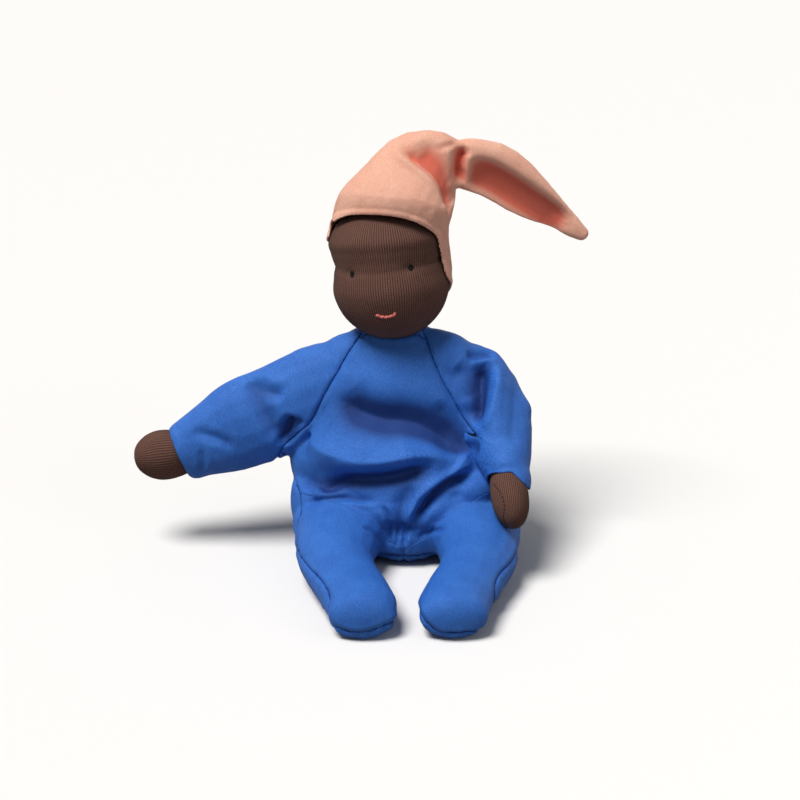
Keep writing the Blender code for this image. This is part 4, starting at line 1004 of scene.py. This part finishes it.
# %% Knit forms
def knitted(name, rings, ribs, rib_depth, start, end):
    """A tube of rib knit over rings of points, closed at both ends; the UV map counts ribs across and mm along."""
    rows, columns = rings.shape[:2]
    middle = rings.mean(1)
    wave = np.cos(2 * math.pi * ribs * np.arange(columns) / columns)
    out = rings - middle[:, None]
    reach = np.linalg.norm(out, axis=2, keepdims=True)
    fullness = np.clip(reach / (6 * MM), 0, 1)
    rings = rings + out / np.maximum(reach, 1e-9) * (wave[None, :, None] * rib_depth * fullness)
    points = np.vstack((rings.reshape(-1, 3), start, end))
    along = np.concatenate(([0], np.cumsum(np.linalg.norm(np.diff(rings[:, 0], axis=0), axis=1)))) / MM
    faces, corners = [], []
    for r in range(rows - 1):
        for c in range(columns):
            d = (c + 1) % columns
            faces.append((r * columns + c, r * columns + d, (r + 1) * columns + d, (r + 1) * columns + c))
            left, right = c * ribs / columns, (c + 1) * ribs / columns
            corners += [(left, along[r]), (right, along[r]), (right, along[r + 1]), (left, along[r + 1])]
    for tip, r, flip in ((rows * columns, 0, True), (rows * columns + 1, rows - 1, False)):
        for c in range(columns):
            d = (c + 1) % columns
            pair = (r * columns + d, r * columns + c) if flip else (r * columns + c, r * columns + d)
            faces.append((*pair, tip))
            corners += [(c * ribs / columns, along[r])] * 3
    return new_piece(name, points, faces, corners)


def facing_out(piece):
    """Turns a closed piece's faces outwards."""
    form = bmesh.new()
    form.from_mesh(piece.data)
    bmesh.ops.recalc_face_normals(form, faces=form.faces)
    form.to_mesh(piece.data)
    form.free()
    return piece


# %% Head
HEAD = np.array((-8.5, 0.0, 145.6)) * MM
HEAD_TURN = np.array(Euler([math.radians(a) for a in (-9, -7, -11)]).to_matrix())
HEAD_DEPTH = 1.03
HEAD_RIBS = 146
EYE_LINE = 4.0 * MM
EYE_APART = 14.5 * MM
MOUTH_DROP = 19.0 * MM
EYE_DROPS = {-1: 3.2 * MM, 1: 2.0 * MM}
EYE_SHIFTS = {-1: 1.3 * MM, 1: 0.5 * MM}
MOUTH_SHIFT = 2.0 * MM
MERIDIAN = [(2.5, -34.2), (9.5, -33.0), (17.6, -28.6), (24.5, -20.8), (28.2, -10.5), (27.3, -1.5), (26.7, 4.0),
            (27.7, 9.5), (28.2, 16.0), (21.6, 25.4), (11.0, 31.4), (1.0, 33.4)]


def on_head(places):
    """Places given in the head's own frame, in the row frame."""
    return HEAD + np.asarray(places) @ HEAD_TURN.T


def head_shape(radius, height, angle):
    """Places on the head: angle 0 is the middle of the face, and the threads draw in the eye line and the eyes."""
    x = radius * np.sin(angle)
    y = -radius * np.cos(angle) * HEAD_DEPTH
    bow = EYE_LINE - 3.6 * MM * np.clip(np.cos(angle), 0, 1)
    tight = 0.5 * MM * np.exp(-((height - bow) / (1.9 * MM)) ** 2)
    for side in (-1, 1):
        apart = np.hypot(x - side * EYE_APART, height - EYE_LINE + EYE_DROPS[side])
        tight = tight + 0.75 * MM * np.exp(-(apart / (2.6 * MM)) ** 2) * (y < 0)
    apart = np.hypot(x, height + MOUTH_DROP + 1.0 * MM)
    tight = tight + 0.35 * MM * np.exp(-(apart / (5 * MM)) ** 2) * (y < 0)
    share = 1 - tight / np.maximum(np.hypot(x, y), 5 * MM)
    return np.stack((x * share, y * share, height + 0 * x), -1)


meridian = smooth_line(MERIDIAN, 118) * MM
angles = np.arange(HEAD_RIBS * 4) / (HEAD_RIBS * 4) * 2 * math.pi
rings = on_head(head_shape(meridian[:, 0][:, None], meridian[:, 1][:, None], angles[None]))
head_knit = facing_out(knitted("head_knit", rings, HEAD_RIBS, 0.17 * MM,
                               on_head((0, 0, -34.4 * MM)), on_head((0, 0, 33.5 * MM))))
head_knit.data.materials.append(skin_knit)
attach(head_knit, "head")
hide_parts("head_skin")
cad_head = tree_of(NODES["head_skin"])
gaps = [cad_head.find_nearest(Vector(p))[3] for p in points_of(head_knit.data)[::97]]
print("head knit:", len(head_knit.data.polygons), "faces, mostly",
      round(float(np.median(gaps)) * 1000, 2), "mm from the solid")

# %% Neck and hands
neck_line = smooth_line([(8.6, 96.5), (9.2, 103.0), (8.8, 110.0), (9.6, 116.0), (9.0, 121.5)], 30) * MM
turns = np.arange(48 * 4) / (48 * 4) * 2 * math.pi
rings = np.stack([np.stack((-7 * MM + r * np.cos(turns), 1 * MM + r * np.sin(turns), 0 * turns + z), 1)
                  for r, z in neck_line])
neck_knit = facing_out(knitted("neck_knit", rings, 48, 0.1 * MM, rings[0].mean(0), rings[-1].mean(0)))
neck_knit.data.materials.append(skin_knit)
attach(neck_knit, "neck")
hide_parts("neck_core")

HAND_ROWS = [(-7.0, 7.0, 9.6), (-3.0, 7.9, 11.2), (0.0, 8.7, 12.0), (4.0, 9.3, 12.7), (9.0, 9.3, 12.6),
             (14.0, 8.3, 10.9), (18.2, 6.0, 7.7), (20.4, 3.4, 4.4), (21.2, 0.8, 1.0)]
HAND_RIBS = 58


def make_hand(side, wrist, aim, hinge, share, reach):
    """A mitten of knit with its ribs running from the cuff round the fingertips."""
    wrist = np.array(wrist) * MM
    aim = np.array(aim) / np.linalg.norm(aim)
    hinge = np.array(hinge, float)
    flat = np.cross(hinge, aim)
    rows = smooth_line(HAND_ROWS, 64) * MM
    turn = np.arange(HAND_RIBS * 4) / (HAND_RIBS * 4) * 2 * math.pi
    rings = np.stack([wrist + aim * along + np.outer(np.cos(turn), hinge) * thick * share
                      + np.outer(np.sin(turn), flat) * wide * share
                      for along, thick, wide in rows * (reach, 1, 1)])
    hand = knitted(f"{side}_hand_knit", rings, HAND_RIBS, 0.16 * MM,
                   wrist + aim * rows[0][0] * reach, wrist + aim * 21.3 * reach * MM)
    facing_out(hand)
    hand.data.materials.append(skin_knit)
    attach(hand, f"{side}_hand")
    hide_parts(f"{side}_hand_skin")
    return hand


RIGHT_WRIST = (-115.86, -5.16, 50.28)
LEFT_WRIST = (49.02, -36.02, 48.2)
right_hand = make_hand("right", RIGHT_WRIST, (-15, 0, -1.7), (0, 1, 0), 1.0, 1.0)
left_hand = make_hand("left", LEFT_WRIST, (0.1, -0.71, -0.70), (1, 0, 0), 0.97, 1.16)
print("hands:", len(right_hand.data.polygons), "faces each")

# %% [markdown]
# The cap is one long pointed piece of cloth, sewn to the head and folded over at the side. One skin is laid over
# the head and both of the cap's solids. Its rim is cut where the picture shows it, and where the solid has it at
# the back. The cloth is drawn down to the head at the rim, and cut at the fold, where it bends.

# %% Cap
CAP_VOXEL = 0.6 * MM
CAP_WALL = 0.9 * MM
FOLD_X = 26.5 * MM
RIM = [(318, 262), (325, 246), (329, 229), (334, 221), (341.5, 217), (352.5, 214.5), (366, 214), (384, 214.7),
       (399, 217), (413.5, 221), (426.5, 227.5), (435, 233.5), (438, 239.5), (440.5, 250.5), (443.5, 263.5),
       (446.5, 273), (449, 280), (455, 285), (470, 290)]
cap_root = plump((25.0, 5.0, 197.0), (7.5, 5.6, 11.8))
cap = skin_over("cap_skin", [hull("cap_crown"), clipped("cap_tail", []), clipped("head_skin", []), cap_root],
                CAP_VOXEL, 20, soften=10)
CAP_PULLS = [((23.5, 4, 209), 6, (0, 0, -1.4)), ((-27, 0, 182), 16, (-3.8, 0, 1.6)),
             ((-33, -2, 166), 10, (-1.8, 0, 0)),
             ((21, 0, 163), 15, (-3.2, 0, 0))]
CAP_FORMS = [
    (7.0, 4.5, 0.0, 0.0, [(412, 146), (428, 156), (443, 172), (451, 196), (452, 216)], 2.2),
    (3.0, 4.0, 2.0, 0.0, [(400, 140), (406, 150), (421, 161), (436, 174), (446, 190), (451, 208), (451, 224)]),
    (3.0, 6.0, 1.2, 0.0, [(459, 186), (459, 168), (461, 154), (468, 146)], 2.0),
    (8.0, 6.2, 0.0, 1.0, [(456, 171), (486, 178), (518, 197), (545, 216), (572, 237)], 3.0),
    (1.8, 0.9, 0.3, 0.3, [(430, 149), (443, 147), (458, 142)]),
]
set_points(cap.data, coaxed(points_of(cap.data), CAP_PULLS))
unpressed = (points_of(cap.data), normals_of(cap.data))
press_folds([cap], CAP_FORMS)
# How deep each fold of the cap was pressed in sets its painted shade.
cap_fold_shade = fold_shade_share(cap, *unpressed, 4.2 * MM)
cap_solids = [tree_of(NODES[node_name]) for node_name in ("cap_crown", "cap_tail")]
head_tree = tree_of(head_knit)


def past_rim(points, behind):
    """The picture's rim in front, and the solid's behind."""
    share = eased((points[:, 1] + 3 * MM) / (7 * MM))
    above = eased((points[:, 2] - (180 - 18 * share) * MM) / (12 * MM))
    on_tail = eased((points[:, 0] - 21 * MM) / (4 * MM)) * (points[:, 2] > 150 * MM)
    ahead = np.clip(-beside_line(points, RIM), -14 * MM, 14 * MM)
    behind = np.minimum(behind, points[:, 2] - 137 * MM + 1.3 * np.maximum(points[:, 1] - 1 * MM, 0))
    measure = ahead * (1 - share) + behind * share
    return measure + (14 * MM - measure) * np.maximum(above, on_tail)


points = points_of(cap.data)
solid = np.array([min(tree.find_nearest(Vector(p))[3] for tree in cap_solids) for p in points])
behind = np.clip((1.8 * MM - solid) * 7, -8 * MM, 14 * MM)
rim_measure = past_rim(points, behind)
drawn_in = np.clip(1 - rim_measure / (12 * MM), 0, 1) ** 1.4
stands_off = 2.2 * MM * eased((-25 * MM - points[:, 0]) / (7 * MM)) * eased((points[:, 2] - 161 * MM) / (10 * MM))
for i in np.flatnonzero((drawn_in > 0) & (rim_measure > -6 * MM)):
    hit, _, _, away = head_tree.find_nearest(Vector(points[i]))
    if away > 1e-6:
        towards = (np.array(hit) - points[i]) / away
        points[i] += towards * (away - CAP_WALL - 0.25 * MM - stands_off[i]) * drawn_in[i]
rim_measure = evened(past_rim(points, behind), edges_of(cap.data), 50)
set_points(cap.data, relax(points, edges_of(cap.data), 3))
points = points_of(cap.data)
outs = normals_of(cap.data)
hem = 0.45 * MM * np.exp(-((rim_measure - 1.3 * MM) / (1.1 * MM)) ** 2)
hem -= 0.15 * MM * np.exp(-((rim_measure - 3.2 * MM) / (0.7 * MM)) ** 2)
lift = hem + 0.2 * MM * ripple(points, 8 * MM, 21.0) + 0.1 * MM * ripple(points, 3 * MM, 22.0)
set_points(cap.data, points + outs * lift[:, None])
points = points_of(cap.data)
rim_measure, fold_measure, cap_fold_shade = split_along(cap, [rim_measure, points[:, 0] - FOLD_X, cap_fold_shade])
points = points_of(cap.data)
faces = faces_of(cap.data)
in_cap, past_fold = [np.array([m[f].mean() for f in faces]) for m in (rim_measure, fold_measure)]


def cap_flat(points):
    return np.stack((points[:, 0], points[:, 2] + 0.3 * points[:, 1]), 1)


cap_crown = panel("cap_crown_cloth", points, faces, (in_cap > 0) & (past_fold < 0), cap_flat, CAP_WALL, cap_fold_shade)
cap_tail = panel("cap_tail_cloth", points, faces, (in_cap > 0) & (past_fold > 0), cap_flat, CAP_WALL, cap_fold_shade)
for piece in (cap_crown, cap_tail):
    piece.data.materials.clear()
    piece.data.materials.append(cap_cloth)
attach(cap_crown, "head")
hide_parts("cap_crown")
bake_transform(cap_tail, "head", "tail", (FOLD_X, 0, 0), (FOLD_X + 12 * MM, 0, 0))
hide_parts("cap_tail")
bpy.data.objects.remove(cap)
print("cap:", len(cap_crown.data.polygons), "and", len(cap_tail.data.polygons), "faces")

# %% [markdown]
# Eyes and mouth are embroidered. A Geometry Nodes tree sets short stitches along a line: it spaces points on
# the line, turns a small rounded strand to follow it, makes the copies real and gives them their thread.

# %% Stitches along a line
def stitch_tree():
    tree = bpy.data.node_groups.new("stitches_along_a_line", "GeometryNodeTree")
    face = tree.interface
    face.new_socket(name="Geometry", in_out="INPUT", socket_type="NodeSocketGeometry")
    for name, value in (("Stitch length", 0.002), ("Thread radius", 0.0004), ("Spacing", 0.0022), ("Tilt", 0.0)):
        made = face.new_socket(name=name, in_out="INPUT", socket_type="NodeSocketFloat")
        made.default_value = value
    face.new_socket(name="Thread", in_out="INPUT", socket_type="NodeSocketMaterial")
    face.new_socket(name="Geometry", in_out="OUTPUT", socket_type="NodeSocketGeometry")
    into = tree.nodes.new("NodeGroupInput")
    out = tree.nodes.new("NodeGroupOutput")
    curve = tree.nodes.new("GeometryNodeMeshToCurve")
    spaced = tree.nodes.new("GeometryNodeCurveToPoints")
    spaced.mode = "LENGTH"
    strand = tree.nodes.new("GeometryNodeMeshIcoSphere")
    strand.inputs["Radius"].default_value = 1.0
    strand.inputs["Subdivisions"].default_value = 3
    size = tree.nodes.new("ShaderNodeCombineXYZ")
    half = tree.nodes.new("ShaderNodeMath")
    half.operation = "MULTIPLY"
    half.inputs[1].default_value = 0.5
    place = tree.nodes.new("GeometryNodeInstanceOnPoints")
    lean = tree.nodes.new("FunctionNodeRotateRotation")
    lean.rotation_space = "LOCAL"
    tilt = tree.nodes.new("FunctionNodeAxisAngleToRotation")
    tilt.inputs["Axis"].default_value = (1, 0, 0)
    real = tree.nodes.new("GeometryNodeRealizeInstances")
    colour = tree.nodes.new("GeometryNodeSetMaterial")
    link = tree.links.new
    link(into.outputs["Geometry"], curve.inputs[0])
    link(curve.outputs[0], spaced.inputs[0])
    link(into.outputs["Spacing"], spaced.inputs["Length"])
    link(spaced.outputs["Points"], place.inputs["Points"])
    link(strand.outputs["Mesh"], place.inputs["Instance"])
    link(into.outputs["Stitch length"], half.inputs[0])
    link(into.outputs["Thread radius"], size.inputs[0])
    link(into.outputs["Thread radius"], size.inputs[1])
    link(half.outputs[0], size.inputs[2])
    link(size.outputs[0], place.inputs["Scale"])
    link(spaced.outputs["Rotation"], lean.inputs[0])
    link(into.outputs["Tilt"], tilt.inputs["Angle"])
    link(tilt.outputs[0], lean.inputs[1])
    link(lean.outputs[0], place.inputs["Rotation"])
    link(place.outputs[0], real.inputs[0])
    link(real.outputs[0], colour.inputs["Geometry"])
    link(into.outputs["Thread"], colour.inputs["Material"])
    link(colour.outputs[0], out.inputs[0])
    return tree


STITCHES = stitch_tree()


def stitched(name, line, length, radius, spacing, tilt, thread):
    """Real stitches along a line of points, as a plain mesh."""
    mesh = bpy.data.meshes.new(name)
    mesh.from_pydata([tuple(p) for p in line], [(i, i + 1) for i in range(len(line) - 1)], [])
    piece = bpy.data.objects.new(name, mesh)
    bpy.context.scene.collection.objects.link(piece)
    modifier = piece.modifiers.new("stitches", "NODES")
    modifier.node_group = STITCHES
    values = {"Stitch length": length, "Thread radius": radius, "Spacing": spacing, "Tilt": tilt, "Thread": thread}
    for item in STITCHES.interface.items_tree:
        if item.in_out == "INPUT" and item.name in values:
            modifier[item.identifier] = values[item.name]
    settled(piece)
    piece.data.polygons.foreach_set("use_smooth", [True] * len(piece.data.polygons))
    return piece


# %% Face
def on_face(x, height, proud):
    """A place on the face's knit, found by a line from the front."""
    start = on_head((x, -0.06, height))
    way = HEAD_TURN @ np.array((0, 1.0, 0))
    hit, out, _, _ = face_tree.ray_cast(Vector(start), Vector(way))
    return np.array(hit) + np.array(out) * proud, np.array(out)


face_tree = tree_of(head_knit)
for side, name in ((-1, "right_eye"), (1, "left_eye")):
    row_lines = []
    for row in range(6):
        height = EYE_LINE - EYE_DROPS[side] + (row - 2.5) * 0.48 * MM
        half = math.sqrt(max(0.0, 1.5 ** 2 - ((row - 2.5) * 0.48) ** 2)) * MM
        place, _ = on_face(side * EYE_APART + EYE_SHIFTS[side], height, 0.3 * MM)
        row_lines.append((place, half))
    parts = []
    for i, (place, half) in enumerate(row_lines):
        way = HEAD_TURN @ np.array((1.0, 0, 0))
        around = on_head((0, 0, EYE_LINE))
        out = (place - around) / np.linalg.norm(place - around)
        way = way - out * (way @ out)
        way = way / np.linalg.norm(way)
        line = [place - way * 0.01 * MM, place + way * 0.01 * MM]
        parts.append(stitched(f"{name}_stitch_{i}", line, 2 * half, 0.36 * MM, 1.0, 0.0, eye_thread))
    form = bmesh.new()
    for part in parts:
        form.from_mesh(part.data)
        bpy.data.objects.remove(part)
    mesh = bpy.data.meshes.new(f"{name}_stitches")
    form.to_mesh(mesh)
    form.free()
    mesh.materials.append(eye_thread)
    eye = bpy.data.objects.new(f"{name}_stitches", mesh)
    bpy.context.scene.collection.objects.link(eye)
    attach(eye, "head")
    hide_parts(name)

MOUTH_HALF = 4.0 * MM
MOUTH_DIP = 1.0 * MM
line = []
for share in np.linspace(-1, 1, 25):
    height = -MOUTH_DROP - MOUTH_DIP * (1 - share * share) - 0.6 * MM
    place, _ = on_face(share * MOUTH_HALF + MOUTH_SHIFT, height, 0.22 * MM)
    line.append(place)
mouth = stitched("mouth_stitches", line, 2.7 * MM, 0.72 * MM, 1.95 * MM, 0.15, mouth_thread)
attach(mouth, "head")
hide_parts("mouth")
print("mouth:", len(mouth.data.polygons), "faces")

hand_line, hand_outs = traced(tree_of(left_hand), [(494, 484), (501, 494), (504.5, 506), (503.5, 518), (507, 527)])
hand_seam = stitched("left_hand_seam", hand_line + hand_outs * 0.05 * MM, 1.5 * MM, 0.24 * MM, 1.9 * MM,
                     0.0, seam_thread)
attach(hand_seam, "left_hand")

# %% [markdown]
# Inside are the wool, the gauze and the threads. They don't show. The wool is soft as well, so each piece of it is
# remade from its solid with the uneven surface of stuffing; the gauze and the threads only get their materials.

# %% Stuffing
UNDER_CLOTH = 1.8 * MM
UNDER_KNIT = 0.6 * MM
COVERS = {"torso": (UNDER_CLOTH, [body_tree]), "right_arm": (UNDER_CLOTH, [body_tree]),
          "right_leg": (UNDER_CLOTH, [body_tree]), "left_leg": (UNDER_CLOTH, [body_tree]),
          "left_arm": (UNDER_CLOTH, [arm_tree, body_tree]), "left_hand": (UNDER_KNIT, [tree_of(left_hand)]),
          "right_hand": (UNDER_KNIT, [tree_of(right_hand)])}


def fluffed(node_name, name, body_name, material, voxel, depth, seed):
    piece = skin_over(name, [clipped(node_name, [])], voxel, 3)
    points = points_of(piece.data)
    lift = depth * (ripple(points, 5 * MM, seed) - 1.0) * 0.5
    points = points + normals_of(piece.data) * lift[:, None]
    if body_name in COVERS:
        depth_under, trees = COVERS[body_name]
        points = pressed(coaxed(points, SUIT_PULLS), suit_traces)
        for _ in range(3):
            points = relax(points, edges_of(piece.data), 1)
            for cover in trees:
                covered = np.full(len(points), True)
                if body_name == "left_arm" and cover is body_tree:
                    covered = (past_raglan(points, LEFT_RAGLAN, 1) < 4 * MM) & (points[:, 2] > ARMPIT)
                for i in np.flatnonzero(covered):
                    hit, out, _, _ = cover.find_nearest(Vector(points[i]))
                    if (Vector(points[i]) - hit).dot(out) > -depth_under:
                        points[i] = hit - out * depth_under
    set_points(piece.data, points)
    piece.data.materials.clear()
    piece.data.materials.append(material)
    if body_name in bends:
        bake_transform(piece, "torso", body_name, *bends[body_name])
    else:
        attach(piece, body_name)
    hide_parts(node_name)
    return piece


INNER = [
    ("torso_stuffing", "torso_wool", "torso", 1.6, 0.4), ("head_core", "head_wool", "head", 1.8, 0.1),
    ("right_arm_stuffing", "right_arm_wool", "right_arm", 1.5, 0.4),
    ("left_arm_stuffing", "left_arm_wool", "left_arm", 1.5, 0.4),
    ("right_hand_stuffing", "right_hand_wool", "right_hand", 1.2, 0.2),
    ("left_hand_stuffing", "left_hand_wool", "left_hand", 1.2, 0.2),
    ("right_leg_stuffing", "right_leg_wool", "right_leg", 1.7, 0.4),
    ("left_leg_stuffing", "left_leg_wool", "left_leg", 1.7, 0.4),
]
for seed, (node_name, name, body_name, voxel, depth) in enumerate(INNER):
    inner = fluffed(node_name, name, body_name, wool, voxel * MM, depth * MM, float(seed))
THREADS = {"head_gauze": gauze, "eye_line_thread": white_thread, "neck_tie": white_thread,
           "right_hand_tie": white_thread, "left_hand_tie": white_thread}
for node_name, material in THREADS.items():
    slots = NODES[node_name].material_slots
    if len(slots):
        for one in slots:
            one.material = material
    else:
        NODES[node_name].data.materials.append(material)

# %% [markdown]
# A pale floor and soft light from the upper left, with a weak light from the other side, show the cloth's
# folds. The backdrop is pale by its own colour where the camera sees it, so it adds no light to the doll.

# %% Floor and light
def card_material(name, shown, thrown_back):
    """Plain card: it shows one colour, and throws a darker one back on the doll, as a coloured sweep does."""
    material = bpy.data.materials.new(name)
    material.use_nodes = True
    tree = material.node_tree
    shader = tree.nodes["Principled BSDF"]
    path = node(tree, "ShaderNodeLightPath")
    tree.links.new(mixed(tree, path.outputs["Is Camera Ray"], thrown_back, shown), shader.inputs["Base Color"])
    shader.inputs["Roughness"].default_value = 0.9
    shader.inputs["Specular IOR Level"].default_value = 0.05
    return material


FLOOR_SIZE = 6.0
floor = new_piece("floor", [(-FLOOR_SIZE, -FLOOR_SIZE, 0), (FLOOR_SIZE, -FLOOR_SIZE, 0),
                            (FLOOR_SIZE, FLOOR_SIZE, 0), (-FLOOR_SIZE, FLOOR_SIZE, 0)], [(0, 1, 2, 3)])
floor.data.materials.append(card_material("floor_card", (0.88, 0.87, 0.86), (0.3, 0.28, 0.27)))


def area_light(name, place, aim, size, power, colour):
    lamp = bpy.data.lights.new(name, "AREA")
    lamp.size = size
    lamp.energy = power
    lamp.color = colour
    light = bpy.data.objects.new(name, lamp)
    light.location = place
    light.rotation_euler = (Vector(aim) - Vector(place)).to_track_quat("-Z", "Y").to_euler()
    bpy.context.scene.collection.objects.link(light)
    return light


sun = bpy.data.lights.new("key_light", "SUN")
sun.energy = 3.35
sun.angle = math.radians(26)
sun.color = (1.0, 0.985, 0.96)
key_light = bpy.data.objects.new("key_light", sun)
key_light.rotation_euler = Vector((0.36, 0.36, -1.0)).to_track_quat("-Z", "Y").to_euler()
bpy.context.scene.collection.objects.link(key_light)
area_light("fill_light", (1.6, -1.3, 1.0), (0, 0, 0.09), 1.4, 4.0, (0.95, 0.97, 1.0))
world = bpy.data.worlds.new("room")
world.use_nodes = True
ROOM_LIGHT = (0.17, 0.172, 0.178)
ROOM_SEEN = (0.97, 0.97, 0.965)
light_rays = node(world.node_tree, "ShaderNodeLightPath")
seen = math_node(world.node_tree, "MAXIMUM", light_rays.outputs["Is Camera Ray"],
                 light_rays.outputs["Is Glossy Ray"])
background = world.node_tree.nodes["Background"]
room_colour = mixed(world.node_tree, seen, ROOM_LIGHT, ROOM_SEEN)
world.node_tree.links.new(room_colour, background.inputs["Color"])
background.inputs["Strength"].default_value = 1.0
bpy.context.scene.world = world
bpy.context.scene.view_settings.view_transform = "Standard"
